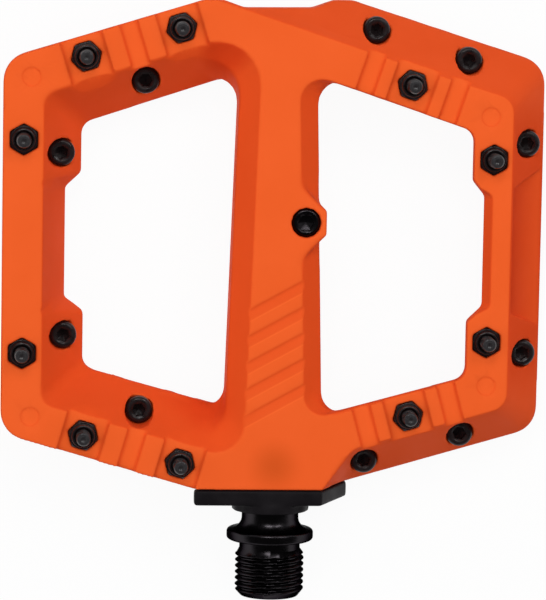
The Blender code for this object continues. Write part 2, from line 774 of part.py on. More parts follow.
def make_seal_plate(plate_finish, seal_finish, parent):
    """The plate that closes the hub, with a spigot in the bore and a collar round the spindle's neck."""
    section = [
        Vector((-HUB_VALLEY, HALF_THICKNESS)),
        Vector((HUB_FLAT_REACH, HALF_THICKNESS)),
        Vector((HUB_VALLEY, -EDGE_BAND)),
        Vector((HUB_VALLEY, -HALF_THICKNESS)),
        Vector((-HUB_FLAT_REACH, -HALF_THICKNESS)),
        Vector((-HUB_VALLEY, EDGE_BAND)),
    ]
    corners = [math.atan2(p.x, p.y) % (2 * math.pi) for p in section]
    spread = math.pi / ROUND_SIDES
    angles = corners + [a for a in even_angles(ROUND_SIDES) if min(abs(a - c) for c in corners) > spread]
    angles.sort()
    outline = [edge_point(section, a) for a in angles]

    def plate_loop(y):
        return [Vector((p.x, y, p.y)) for p in outline]

    inner = -INBOARD_END - FIT
    seal_seat = SEAL_RADIUS + FIT
    seat_end = -COLLAR_END + SEAL_WIDTH + FIT
    spigot_end = -INBOARD_END + SPIGOT_LENGTH
    step = inner - FIT
    plate = loft(
        [
            circle(BUSH_RADIUS, spigot_end, angles, "Y"),
            circle(BUSH_RADIUS, inner, angles, "Y"),
            plate_loop(inner),
            plate_loop(-PLATE_OUTER),
            circle(seal_seat + COLLAR_WALL, -PLATE_OUTER, angles, "Y"),
            circle(seal_seat + COLLAR_WALL, -COLLAR_END, angles, "Y"),
            circle(seal_seat, -COLLAR_END, angles, "Y"),
            circle(seal_seat, seat_end, angles, "Y"),
            circle(SEAL_BORE, seat_end, angles, "Y"),
            circle(SEAL_BORE, step, angles, "Y"),
            circle(BUSH_BORE, step, angles, "Y"),
            circle(BUSH_BORE, spigot_end, angles, "Y"),
        ],
        ring=True,
    )
    place("seal_plate", mesh_from(plate, "seal_plate"), plate_finish, parent)
    near = -COLLAR_END + FIT
    far = near + SEAL_WIDTH - FIT
    middle = (near + far) / 2
    seal = turned(
        [(SEAL_RADIUS, near), (SEAL_RADIUS, far), (SEAL_BORE + FIT, far), (NECK_RADIUS + FIT, middle),
         (SEAL_BORE + FIT, near)],
        ring=True,
    )
    place("axle_seal", mesh_from(seal, "axle_seal"), seal_finish, parent)


def make_bushing(material, parent):
    start = -INBOARD_END + SPIGOT_LENGTH + FIT
    end = start + BUSH_LENGTH
    bushing = turned(
        [(BUSH_RADIUS, start), (BUSH_RADIUS, end), (BUSH_BORE, end), (BUSH_BORE, start)], ring=True
    )
    place("inboard_bushing", mesh_from(bushing, "inboard_bushing"), material, parent)


def bearing_sizes():
    """Outer radius of the inner race, bore of the outer race, and the balls' pitch and radius."""
    inner = STUB_RADIUS + FIT + RACE_WALL
    outer = BORE_RADIUS - FIT - RACE_WALL
    pitch = (inner + outer) / 2
    ball = (outer - inner) / 2 + RACE_GROOVE - FIT
    return inner, outer, pitch, ball


def make_races(steel, rubber, platform_parent, spindle_parent):
    inner, outer, _, ball = bearing_sizes()
    near, far = BEARING_PLACE, BEARING_PLACE + BEARING_WIDTH
    middle = (near + far) / 2
    rim = BORE_RADIUS - FIT
    groove = ball
    outer_race = turned(
        [(rim, near), (rim, far), (outer, far), (outer, middle + groove), (outer + RACE_GROOVE, middle),
         (outer, middle - groove), (outer, near)],
        ring=True,
    )
    place("bearing_outer_race", mesh_from(outer_race, "bearing_outer_race"), steel, platform_parent)
    bore = STUB_RADIUS + FIT
    inner_race = turned(
        [(inner, near), (inner, middle - groove), (inner - RACE_GROOVE, middle), (inner, middle + groove),
         (inner, far), (bore, far), (bore, near)],
        ring=True,
    )
    shift = Matrix.Translation((0, PLATFORM_CENTRE, 0))
    place("bearing_inner_race", mesh_from(inner_race, "bearing_inner_race"), steel, spindle_parent, shift)
    for label, start in (("inboard", near + SHIELD_INSET), ("outboard", far - SHIELD_INSET - SHIELD_WIDTH)):
        end = start + SHIELD_WIDTH
        lip, edge = inner + RUN, outer - FIT
        shield = turned([(edge, start), (edge, end), (lip, end), (lip, start)], ring=True)
        name = f"bearing_seal_{label}"
        place(name, mesh_from(shield, name), rubber, platform_parent)


def make_ball_cage(material, parent):
    """Balls and cage as one ring whose thickness follows the balls."""
    _, _, pitch, ball = bearing_sizes()
    middle = BEARING_PLACE + BEARING_WIDTH / 2
    per_ball = 4
    sides = 8
    loops = []
    for i in range(BALL_COUNT * per_ball):
        angle = 2 * math.pi * i / (BALL_COUNT * per_ball)
        step = (i + per_ball / 2) % per_ball - per_ball / 2
        along = pitch * 2 * math.pi / (BALL_COUNT * per_ball) * step
        thick = max(CAGE_RADIUS, math.sqrt(max(ball ** 2 - along ** 2, 0.0)))
        loop = []
        for k in even_angles(sides):
            r = pitch + thick * math.cos(k)
            loop.append(Vector((r * math.sin(angle), middle + thick * math.sin(k), r * math.cos(angle))))
        loops.append(loop)
    place("bearing_ball_cage", mesh_from(loft(loops, ring=True), "bearing_ball_cage"), material, parent)


def make_spindle(material, parent):
    """One turned piece from the crank thread to the stub in the outboard bearing, with a key socket in its end."""
    centre = PLATFORM_CENTRE
    thread_start = -RELIEF_LENGTH
    thread_end = thread_start - THREAD_LENGTH
    groove_half = RETENTION_RADIUS + GROOVE_PLAY
    groove = centre + RETENTION_Y
    groove_radius = RETENTION_X - RETENTION_RADIUS - GROOVE_PLAY
    step = centre - INBOARD_END - 2 * FIT
    bush_end = centre - INBOARD_END + SPIGOT_LENGTH + BUSH_LENGTH + RUN
    stub = centre + BEARING_PLACE - FIT
    fillet = []
    fillet_radius = FLANGE_RADIUS - EDGE_BREAK - NECK_RADIUS
    for i in range(FILLET_STEPS + 1):
        a = math.pi / 2 * i / FILLET_STEPS
        radius = NECK_RADIUS + fillet_radius * (1 - math.sin(a))
        fillet.append((radius, FLANGE_THICKNESS + fillet_radius * (1 - math.cos(a))))
    profile = [
        (THREAD_RADIUS - THREAD_CHAMFER, thread_end),
        (THREAD_RADIUS, thread_end + THREAD_CHAMFER),
        (THREAD_RADIUS, thread_start - EDGE_BREAK),
        (RELIEF_RADIUS, thread_start),
        (RELIEF_RADIUS, 0),
        (FLANGE_RADIUS - EDGE_BREAK, 0),
        (FLANGE_RADIUS, EDGE_BREAK),
        (FLANGE_RADIUS, FLANGE_THICKNESS - EDGE_BREAK),
        *fillet,
        (NECK_RADIUS, step),
        (JOURNAL_RADIUS, step),
        (JOURNAL_RADIUS, bush_end),
        (SHAFT_RADIUS, bush_end),
        (SHAFT_RADIUS, groove - groove_half),
        (groove_radius, groove - groove_half),
        (groove_radius, groove + groove_half),
        (SHAFT_RADIUS, groove + groove_half),
        (STUB_SHOULDER, stub),
        (STUB_RADIUS, stub),
        (STUB_RADIUS, centre + STUB_END - RUN - EDGE_BREAK),
        (STUB_RADIUS - EDGE_BREAK, centre + STUB_END - RUN),
    ]
    angles = even_angles(ROUND_SIDES - ROUND_SIDES % 6)
    loops = [
        hexagon(KEY_ACROSS, thread_end + KEY_DEPTH, angles, "Y"),
        hexagon(KEY_ACROSS, thread_end, angles, "Y"),
    ]
    loops += [circle(radius, y, angles, "Y") for radius, y in profile]
    place("spindle", mesh_from(loft(loops), "spindle"), material, parent)


def main():
    clear_scene()
    nylon = finish("orange_nylon", ORANGE, 0.5)
    black_steel = finish("black_oxide_steel", BLACK, 0.35, 0.6)
    gloss_steel = finish("black_plated_steel", BLACK, 0.18, 0.6)
    black_nylon = finish("black_nylon", BLACK, 0.55)
    rubber = finish("seal_rubber", BLACK, 0.8)
    polymer = finish("bushing_polymer", SAND, 0.5)
    bearing_steel = finish("bearing_steel", STEEL, 0.2, 1.0)
    brass = finish("insert_brass", BRASS, 0.3, 1.0)
    spindle_body = anchor("spindle_frame", 0.0)
    platform_body = anchor("platform_frame", PLATFORM_CENTRE)
    cage_body = anchor("ball_cage_frame", PLATFORM_CENTRE)
    make_spindle(gloss_steel, spindle_body)
    make_platform(nylon, platform_body)
    make_pins(black_steel, platform_body)
    make_retention(black_steel, brass, platform_body)
    make_seal_plate(black_nylon, rubber, platform_body)
    make_bushing(polymer, platform_body)
    make_races(bearing_steel, rubber, platform_body, spindle_body)
    make_ball_cage(bearing_steel, cage_body)


main()
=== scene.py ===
"""Finished look of a flat pedal: moulded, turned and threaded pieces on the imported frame, in a studio."""

import math

import bmesh
import bpy
from bpy.props import FloatProperty, FloatVectorProperty, IntProperty, PointerProperty
from bpy.types import Operator, Panel, PropertyGroup
from mathutils import Matrix, Vector


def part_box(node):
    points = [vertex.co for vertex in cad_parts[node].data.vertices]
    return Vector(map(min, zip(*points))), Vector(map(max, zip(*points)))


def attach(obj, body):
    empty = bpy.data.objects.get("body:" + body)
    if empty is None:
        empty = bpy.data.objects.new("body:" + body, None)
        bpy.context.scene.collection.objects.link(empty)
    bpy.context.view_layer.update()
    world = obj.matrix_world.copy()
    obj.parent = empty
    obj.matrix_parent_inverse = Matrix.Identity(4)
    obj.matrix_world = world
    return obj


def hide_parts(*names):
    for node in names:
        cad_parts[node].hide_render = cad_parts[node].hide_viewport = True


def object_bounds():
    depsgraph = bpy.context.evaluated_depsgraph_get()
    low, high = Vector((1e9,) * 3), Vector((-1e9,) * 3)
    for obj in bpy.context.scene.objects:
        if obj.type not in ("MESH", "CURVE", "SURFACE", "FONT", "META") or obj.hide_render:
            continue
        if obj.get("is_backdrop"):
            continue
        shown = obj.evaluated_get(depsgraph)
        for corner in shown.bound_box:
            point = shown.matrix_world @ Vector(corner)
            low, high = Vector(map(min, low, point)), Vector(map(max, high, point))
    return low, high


bl_info = {
    "name": "Flat pedal look",
    "version": (1, 0, 0),
    "blender": (4, 5, 0),
    "location": "3D View > Sidebar > Pedal",
    "description": "Dresses the packed flat pedal with finished pieces, materials and a studio",
    "category": "Object",
}

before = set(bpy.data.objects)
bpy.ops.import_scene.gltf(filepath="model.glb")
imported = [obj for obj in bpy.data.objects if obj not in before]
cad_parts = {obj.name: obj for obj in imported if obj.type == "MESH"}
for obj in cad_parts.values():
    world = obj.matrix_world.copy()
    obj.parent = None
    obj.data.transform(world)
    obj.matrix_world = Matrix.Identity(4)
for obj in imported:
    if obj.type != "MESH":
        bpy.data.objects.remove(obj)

MM = 0.001
TAU = 2 * math.pi
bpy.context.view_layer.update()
PLATFORM, SPINDLE = "platform_body", "spindle_body"
PINS = sorted(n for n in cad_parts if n.startswith("pin_"))
LOCK_NUTS = sorted(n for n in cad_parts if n.startswith("nut_"))

# The middle of the pins, found from the retention screw beside it
CENTRE = sum(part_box("retention_screw"), Vector()) / 2 - Vector((5.8, 5.5, 0)) * MM

# Round ejector marks on the upper face, in millimetres from the middle of the pins, as places below are too
EJECTOR_MARKS = ((-50.4, 34.5), (-50.1, -34.8), (43.2, 27.6), (43.5, -27.8))

# Rings that close a nut's pocket: overlap inside and outside the nut, below its seat, and short of the face
FILL_INSIDE, FILL_OUTSIDE, FILL_BELOW, FILL_SHORT = 0.4 * MM, 0.5 * MM, 0.1 * MM, 0.01 * MM

# Pads that run out over the window's ridge in a soft facet: two nuts, start of the facet and its fall
PAD_LIPS = (
    ("nut_front_outer_1_upper", "nut_front_outer_2_upper", 4.25 * MM, math.radians(42)),
    ("nut_front_outer_5_upper", "nut_front_outer_6_upper", 4.13 * MM, math.radians(51)),
)

# A facet's reach before and after its start, how much higher it runs at its ends, and where these stop
LIP_BEFORE, LIP_AFTER, LIP_RISE, LIP_ENDS = 1 * MM, 5 * MM, 1 * MM, 1.2

# Angle of the beams to the spindle's square, outboard and inboard; the corners of their nuts follow it
BEAM_ANGLES = (math.radians(17.3), math.radians(16.1))

# Below the pads by this much, a point belongs to a beam's slope
SLOPE_MARGIN = 0.2 * MM

# Corners that the mould rounds off: place and radius in millimetres, and whether they run from face to face
SOFT_CORNERS = (
    ((6.7, 11.4), 4.6, True),
    ((6.7, -0.4), 4.6, True),
    ((-11.5, 34.5), 8.0, False),
    ((-12.0, -34.0), 8.0, False),
)
CORNER_FADE = 2.5

# The hollow in a rail's outer slope: start and end across the rail, half length and flare along it
SCOOP_START, SCOOP_END = Vector((47.9, 7.7)) * MM, Vector((56.1, -5.2)) * MM
SCOOP_HALF, SCOOP_FLARE = 12.7 * MM, 3.8 * MM

# Reach of the hollow above and below the slope, and the depth at which its painted shade is full
SCOOP_ABOVE, SCOOP_BELOW, SCOOP_SHADE_DEPTH = 0.3 * MM, 3 * MM, 0.25 * MM

# The slope round the hollow: how much shade is painted on it, where that ends along the rail, and how long it
# takes to fade
SLOPE_SHADE, SLOPE_END, SLOPE_FADE = 0.55, 32 * MM, 8 * MM

# Deep corners, where shade is painted on the nylon: place and radius in millimetres, and darkness
DEEP_CORNERS = (((-11.0, 40.2), 6.0, 0.75), ((-13.8, -33.2), 5.5, 0.5))
DEEP_FADE = 2

# Upright share of a wall's direction below which it counts as steep, and over which it fades
STEEP_BELOW, STEEP_FADE = 0.97, 0.1

# Grooves across the spine, as in the solids: first step, pitch, number, slant, and share that is ramp
GROOVE_FIRST, GROOVE_PITCH, GROOVE_COUNT = -9.3 * MM, 5.4 * MM, 5
GROOVE_RISE, GROOVE_SHARE = math.tan(math.radians(29.0)), 0.466

# How much shade is painted on a groove's ramp and highlight on its edge, what is left of the shade at the
# ramp's end, and the edge's width
RAMP_SHADE, EDGE_HIGHLIGHT, RAMP_LEFT, EDGE_WIDTH = 0.38, 0.5, 0.75, 0.05

# Rounding between which an edge gets its painted highlight, the most of it, and the roughness that a hollow
# adds
RIDGE_FROM, RIDGE_TO, RIDGE_MOST, HOLLOW_ROUGH = 0.10, 0.45, 0.8, 0.4

# Upright share of the nylon's direction between which the painted shade of the slopes gives way to the faces'
# colour
LEVEL_FROM, LEVEL_TO = 0.80, 0.97

# A soft dark patch on the hub's upper face
DARK_PATCH_PLACE = Vector((0.1, -44.8, 7.7)) * MM
DARK_PATCH_RADIUS = 6.8 * MM

# Heights between which the ends of the pins turn to bare steel
BARE_FROM, BARE_TO = 11.9 * MM, 12.1 * MM

# A thread's crest and root within half a pitch, and the share of the radius outside which it is cut
CREST, ROOT, SKIN = 0.12, 0.85, 0.98

# What sets a thread, and the values for a piece without one
THREAD_SIZES, NO_THREAD = ("Radius", "Pitch", "Depth", "Start", "End"), (1.0, 1.0, 0.0, 0.0, 1.0)

# A screw's thread stops this far short of its end; a pin's starts this far down in its nut
THREAD_SHORT, THREAD_IN_NUT = 0.3 * MM, 1.2 * MM

# Retention screw: plain length below the head, and depths of its socket and thread
SCREW_PLAIN, SCREW_SOCKET_DEPTH, SCREW_THREAD_DEPTH = 6 * MM, 1.6 * MM, 0.3 * MM

# The turn from one key socket to the next, since each pin stops where it came tight
SOCKET_TURN = 0.4

# The spindle in the hub, as in the solids: radii of journal, shaft, notch for the screw, shoulder and stub
JOURNAL, SHAFT, NOTCH, SHOULDER, STUB = 4.85 * MM, 4.7 * MM, 3.3 * MM, 3.5 * MM, 3.0 * MM

# Lengths there: before and past the bushing, before the bearing, half the notch, and the notch's place
STEP_GAP, BUSH_GAP, RACE_GAP = 3.1 * MM, 0.3 * MM, 0.15 * MM
NOTCH_HALF, NOTCH_PLACE = 2.5 * MM, 5.5 * MM

# Inner pieces: nodes, finish, two tones, roughness, grain, its strength, metal, scale of the blotches
INNER_FINISHES = (
    (("axle_seal", "bearing_seal_inboard", "bearing_seal_outboard"), "moulded_rubber",
     (0.005, 0.005, 0.005), (0.008, 0.008, 0.008), (0.6, 0.75), 0.2 * MM, 0.1, 0.0, 300.0),
    (("inboard_bushing",), "turned_polymer",
     (0.45, 0.36, 0.2), (0.38, 0.3, 0.16), (0.4, 0.5), 0.2 * MM, 0.05, 0.0, 90.0),
    (("bearing_outer_race", "bearing_inner_race", "bearing_ball_cage"), "ground_steel",
     (0.6, 0.6, 0.61), (0.52, 0.52, 0.54), (0.16, 0.26), 0.1 * MM, 0.03, 1.0, 90.0),
    (("retention_insert",), "turned_brass",
     (0.75, 0.52, 0.2), (0.66, 0.45, 0.16), (0.24, 0.36), 0.1 * MM, 0.05, 1.0, 90.0),
)

# Edges sharper than this stay sharp, in degrees
MOULDED_EDGE, TURNED_EDGE, FASTENER_EDGE = 60, 40, 34

# Soft lights round the pedal: name, direction, width and height in millimetres, share, shown in gloss
SOFT_LIGHTS = (
    ("outboard_box_front", (-0.16, 0.85, 1.15), 300, 220, 0.14, True),
    ("outboard_box_rear", (0.7, 0.85, 1.15), 300, 220, 0.105, True),
    ("front_panel", (-1, 0, 1), 1000, 1000, 0.31, False),
    ("rear_panel", (1, 0, 1), 1000, 1000, 0.17, False),
    ("inboard_panel", (0, -1, 1), 900, 900, 0.06, False),
    ("overhead_panel", (0, 0.15, 1), 520, 520, 0.17, False),
)

# The floor: facets round it and in its bend, gap below the pedal, grey of its matte part, and share of white
FLOOR_SIDES, FLOOR_BEND, FLOOR_GAP, FLOOR_GREY, FLOOR_WHITE = 64, 12, 0.05 * MM, 0.85, 0.94

# The photograph's camera: turns about X, Y and Z, shift of the middle of the pins, and distance
CAMERA_TURNS = (0.1125, 0.07769, -0.0092)
CAMERA_SHIFT = Vector((0.3885, 11.1368, 0)) * MM
CAMERA_DISTANCE = 721.393 * MM
CAMERA_LENS = 210.0


# Sizes, colours and light

def length(name, description, millimetres):
    """A property for a small length, in metres."""
    return FloatProperty(
        name=name, description=description, default=millimetres * MM, min=0, unit="LENGTH", precision=5
    )


def count(name, description, value):
    return IntProperty(name=name, description=description, default=value)


def colour(name, description, value):
    return FloatVectorProperty(
        name=name, description=description, default=value, subtype="COLOR", min=0, max=1
    )


class PedalPlatform(PropertyGroup):
    """How the moulded platform and seal plate are softened."""

    voxel: length("Voxel", "Cells that the platform is resampled to", 0.29)
    smoothing: count("Smoothing", "Passes that round the moulded edges", 5)
    triangles: count("Triangles", "Most triangles in the finished shell", 185000)
    blending: count("Blending", "Passes that round the beams further", 28)
    easing: count("Easing", "Passes that hollow the recesses", 60)
    rounding: count("Rounding", "Passes that round the soft corners", 45)
    step_reach: length("Step reach", "Reach of the recesses from a line of nuts", 4.4)
    step_edge: length("Step edge", "Depth from which a recess is hollowed", 0.25)
    seat_reach: length("Seat reach", "Radius of a fastener's crisp seat", 3.4)
    beam_start: length("Beam start", "Distance of the beams from the middle", 28)
    hub_reach: length("Hub reach", "Half width of the spine", 12)
    mark_radius: length("Mark radius", "Radius of an ejector mark", 2.05)
    mark_depth: length("Mark depth", "Depth of an ejector mark", 0.3)
    pad_depth: length("Pad depth", "Depth of the pads round the nuts", 0.9)
    pocket_gap: length("Pocket gap", "Gap between a nut and its pocket", 0.1)
    lip_half: length("Lip half width", "Half width of a pad's facet", 4.3)
    plate_voxel: length("Plate voxel", "Cells that the seal plate is resampled to", 0.2)
    plate_smoothing: count("Plate smoothing", "Passes that round the seal plate's edges", 40)
    plate_triangles: count("Plate triangles", "Most triangles in the finished seal plate", 60000)


class PedalFasteners(PropertyGroup):
    """Sizes of the traction pins, their nuts and the retention screw."""

    sides: count("Sides", "Facets round a fastener, a multiple of six", 36)
    pin_radius: length("Pin radius", "Radius of a pin's shank", 1.5)
    pin_pitch: length("Pin pitch", "Pitch of a pin's thread", 0.5)
    pin_depth: length("Pin thread depth", "Depth of a pin's thread", 0.27)
    pin_head: length("Pin head height", "Height of a pin's head", 2.6)
    pin_socket: length("Pin socket", "Width across a pin's key socket", 2.5)
    socket_depth: length("Socket depth", "Depth of a pin's key socket", 2.3)
    nut_across: length("Nut width", "Width across the flats of a nut", 5.5)
    nut_hex: length("Nut height", "Height of a nut's six-sided part", 2.7)
    crown_radius: length("Crown radius", "Radius of the ring on top of a nut", 2.35)
    crown_bore: length("Crown bore", "Radius of the hollow in the ring", 1.9)
    screw_radius: length("Screw radius", "Radius of the retention screw", 2.0)
    screw_head: length("Screw head height", "Height of the retention screw's head", 2.2)
    screw_socket: length("Screw socket", "Width of the retention screw's key socket", 3.0)
    screw_pitch: length("Screw pitch", "Pitch of the retention screw's thread", 0.7)


class PedalSpindle(PropertyGroup):
    """Sizes of the turned spindle, measured from the face that seats on the crank."""

    sides: count("Sides", "Facets round the spindle, a multiple of six", 96)
    thread_radius: length("Thread radius", "Radius over the crank thread", 7.144)
    thread_length: length("Thread length", "Length of the crank thread", 10.0)
    pitch: length("Pitch", "Pitch of the crank thread, 20 turns to the inch", 1.27)
    depth: length("Thread depth", "Depth of the crank thread", 0.62)
    relief_radius: length("Relief radius", "Radius of the groove behind the thread", 6.3)
    relief_length: length("Relief length", "Length of the groove behind the thread", 1.8)
    runout: length("Run-out", "Length of the thread's start", 0.95)
    lead: length("Lead", "Chamfer at the start of the crank thread", 1.2)
    flange_radius: length("Flange radius", "Radius of the flange", 9.0)
    flange: length("Flange thickness", "Thickness of the flange's rim", 2.2)
    neck_radius: length("Neck radius", "Radius of the neck in the seal", 5.9)
    edge: length("Edge", "Rounding of the flange's rim", 0.65)
    key: length("Key socket", "Width across the key socket", 8.0)
    key_depth: length("Key depth", "Depth of the key socket", 6.0)


class PedalFinish(PropertyGroup):
    """Colours of the finishes."""

    face: colour("Face", "Moulded nylon on the two faces", (0.865, 0.118, 0.023))
    face_deep: colour("Deep face", "The same nylon where it is a little darker", (0.845, 0.113, 0.021))
    # Side and deep side are painted shade: the face colours made darker and redder on slopes and sides, for
    # the shade that falls there
    side: colour("Side", "Moulded nylon on slopes and sides", (0.82, 0.089, 0.0165))
    side_deep: colour("Deep side", "The same nylon where it is a little darker", (0.80, 0.085, 0.0155))
    # Ridge highlight is a painted highlight: paler nylon along rounded edges, where light catches them
    ridge_highlight: colour("Ridge", "Nylon along rounded edges", (0.93, 0.15, 0.03))
    # Hollow is painted shade: darker, redder nylon in hollows, on groove ramps, in deep corners and on the
    # rails' outer slopes
    hollow: colour("Hollow", "Nylon deep in hollows and grooves", (0.70, 0.050, 0.009))
    dark_patch: colour("Stain", "Nylon in the darkened patch by the hub", (0.67, 0.088, 0.014))
    oxide: colour("Oxide", "Black oxide on the fasteners", (0.0085, 0.0052, 0.0055))
    oxide_worn: colour("Worn oxide", "Black oxide where it is rubbed", (0.0125, 0.0085, 0.0090))
    tip: colour("Tip", "Bare steel at the worn ends of the pins", (0.024, 0.022, 0.0235))
    plating: colour("Plating", "Black plating on the spindle and the retention screw", (0.032, 0.029, 0.032))
    plating_worn: colour("Worn plating", "Black plating where it is rubbed", (0.042, 0.038, 0.042))
    plating_rim: colour("Plating rim", "Black plating seen along its surface", (0.05, 0.05, 0.05))
    plate: colour("Plate", "Black nylon of the seal plate", (0.0075, 0.0064, 0.0075))
    plate_pale: colour("Pale plate", "Black nylon where it is a little paler", (0.011, 0.0095, 0.011))


class PedalStudio(PropertyGroup):
    """Light and floor."""

    power: FloatProperty(name="Power", description="Power of the soft lights", default=11.4, unit="POWER")
    distance: length("Distance", "Distance of a soft light from the pedal", 850)
    ambient: FloatProperty(name="Ambient", description="Strength of the light from all round", default=0.05)
    floor_radius: length("Floor radius", "Radius of the pale floor", 4000)
    wall: length("Wall", "Height of the pale wall round the floor", 1400)


GROUPS = (
    ("pedal_platform", PedalPlatform),
    ("pedal_fasteners", PedalFasteners),
    ("pedal_spindle", PedalSpindle),
    ("pedal_finish", PedalFinish),
    ("pedal_studio", PedalStudio),
)


# Meshes and objects

def clamp(value):
    """A value held between 0 and 1."""
    return min(1.0, max(0.0, value))


def new_object(name, data):
    """An object in the scene, round a mesh, a light or a camera."""
    piece = bpy.data.objects.new(name, data)
    bpy.context.scene.collection.objects.link(piece)
    return piece


def merged_copy(source, name):
    """A copy of a CAD node's mesh, with its loose triangles joined."""
    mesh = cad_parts[source].data.copy()
    mesh.name = name
    bm = bmesh.new()
    bm.from_mesh(mesh)
    bmesh.ops.remove_doubles(bm, verts=bm.verts, dist=0.001 * MM)
    bm.to_mesh(mesh)
    bm.free()
    return new_object(name, mesh)


def bake(piece):
    """Turns the evaluated piece into a plain mesh and takes its modifiers off."""
    evaluated = piece.evaluated_get(bpy.context.evaluated_depsgraph_get())
    mesh = bpy.data.meshes.new_from_object(evaluated)
    piece.modifiers.clear()
    piece.data = mesh


def smooth(piece, passes, group=""):
    """Rounds a piece, or a group of its points, a little with each pass."""
    rounding = piece.modifiers.new("Round", "SMOOTH")
    rounding.factor = 0.5
    rounding.iterations = passes
    rounding.vertex_group = group


def soften(piece, voxel, passes):
    """Resamples a piece evenly and rounds its edges, as moulding does, and marks how far they moved, for the
    highlight painted along ridges.
    """
    remesh = piece.modifiers.new("Resample", "REMESH")
    remesh.mode = "VOXEL"
    remesh.voxel_size = voxel
    bake(piece)
    before = [vertex.co.copy() for vertex in piece.data.vertices]
    smooth(piece, passes)
    bake(piece)
    ridge_highlight = piece.data.attributes.new("ridge_highlight", "FLOAT", "POINT")
    for vertex, place in zip(piece.data.vertices, before):
        ridge_highlight.data[vertex.index].value = (place - vertex.co).dot(vertex.normal) / voxel


def thin(piece, triangles):
    """Brings a piece down to a number of triangles."""
    total = sum(len(face.vertices) - 2 for face in piece.data.polygons)
    if total > triangles:
        decimate = piece.modifiers.new("Thin", "DECIMATE")
        decimate.ratio = triangles / total
        bake(piece)


def dress(piece, edge, material, body, nodes):
    """Shades a piece, with sharp edges from an angle on, and lets it stand for CAD nodes."""
    piece.data.shade_smooth()
    piece.data.set_sharp_from_angle(angle=math.radians(edge))
    piece.data.materials.clear()
    piece.data.materials.append(material)
    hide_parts(*nodes)
    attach(piece, body)


# Turned and six-sided blanks

def hexagon(across, limit=math.inf, turn=0.0):
    """Reach of a hexagon's edge at an angle, with its corners cut to a limit."""
    step = TAU / 6
    return lambda angle: min(limit, across / 2 / math.cos((angle - turn) % step - step / 2))


def lofted(rings, sides, closed=False, lid=True):
    """A body through rings round Z, each a reach (a radius, or a function of the angle) and a height."""
    bm = bmesh.new()
    loops = []
    for reach, z in rings:
        loop = []
        for i in range(sides):
            angle = TAU * i / sides
            radius = reach(angle) if callable(reach) else reach
            loop.append(bm.verts.new((radius * math.cos(angle), radius * math.sin(angle), z)))
        loops.append(loop)
    pairs = list(zip(loops, loops[1:])) + ([(loops[-1], loops[0])] if closed else [])
    for below, above in pairs:
        for i in range(sides):
            j = (i + 1) % sides
            bm.faces.new((below[i], below[j], above[j], above[i]))
    if not closed:
        bm.faces.new(loops[0][::-1])
        if lid:
            bm.faces.new(loops[-1])
    bmesh.ops.recalc_face_normals(bm, faces=bm.faces)
    mesh = bpy.data.meshes.new("blank")
    bm.to_mesh(mesh)
    bm.free()
    return mesh


def rows(start, end, step):
    """Heights from start to end, spaced a step apart or a little less."""
    steps = max(1, math.ceil((end - start) / step))
    return [start + (end - start) * i / steps for i in range(steps + 1)]


def rim(radius, height, edge, first, last):
    """A rounded corner of a rim: rings on a quarter circle, from one angle to another."""
    middle = height + edge if first >= 180 else height - edge
    turns = [math.radians(first + (last - first) * i / 6) for i in range(7)]
    return [(radius - edge + edge * math.cos(a), middle + edge * math.sin(a)) for a in turns]


def screw_blank(base, tip, head, height, socket, depth, radius, start, pitch, sides):
    """A socket-head screw that stands on its head, with a cupped end and rows where its thread is cut."""
    key = hexagon(socket)
    opening = socket / math.sqrt(3) + 0.28 * MM
    rings = [
        (0.03 * MM, base + depth + 0.2 * MM), (key, base + depth * 0.63 + 0.2 * MM), (key, base + 0.3 * MM),
        (opening, base + 0.03 * MM), (opening + 0.08 * MM, base), (head - 0.6 * MM, base),
        (head - 0.46 * MM, base + 0.04 * MM), (head - 0.14 * MM, base + 0.26 * MM),
        (head - 0.03 * MM, base + 0.42 * MM), (head, base + 0.6 * MM), (head, base + height - 0.1 * MM),
        (head - 0.1 * MM, base + height), (radius + 0.15 * MM, base + height),
        (radius, base + height + 0.15 * MM),
    ]
    rings += [(radius, z) for z in rows(start, tip - 0.45 * MM, pitch / 6)]
    rings += [
        (radius * 0.86, tip - 0.14 * MM), (radius * 0.77, tip - 0.04 * MM), (radius * 0.70, tip),
        (radius * 0.46, tip), (radius * 0.38, tip - 0.1 * MM), (0.03 * MM, tip - 0.24 * MM),
    ]
    return lofted(rings, sides)


def nut_blank(base, top, sizes):
    """A lock nut round its bore: six sides with cut corners, and a hollow crown on a shoulder."""
    across, crown, hollow = sizes.nut_across, sizes.crown_radius, sizes.crown_bore
    bore = sizes.pin_radius + 0.05 * MM
    shoulder = base + sizes.nut_hex
    sharp, cut = hexagon(across, turn=math.pi / 2), hexagon(across, across / 2 + 0.06 * MM, math.pi / 2)
    rings = [
        (bore, base + 0.3 * MM), (bore + 0.3 * MM, base), (cut, base), (sharp, base + 0.25 * MM),
        (sharp, shoulder - 0.3 * MM), (cut, shoulder - 0.04 * MM), (across / 2 - 0.05 * MM, shoulder),
        (crown + 0.16 * MM, shoulder), (crown + 0.03 * MM, shoulder + 0.13 * MM), (crown, top - 0.25 * MM),
        (crown - 0.07 * MM, top - 0.08 * MM), (crown - 0.2 * MM, top), (hollow + 0.08 * MM, top),
        (hollow, top - 0.08 * MM), (hollow, top - 0.55 * MM), (bore, top - 0.75 * MM),
    ]
    return lofted(rings, sizes.sides, closed=True)


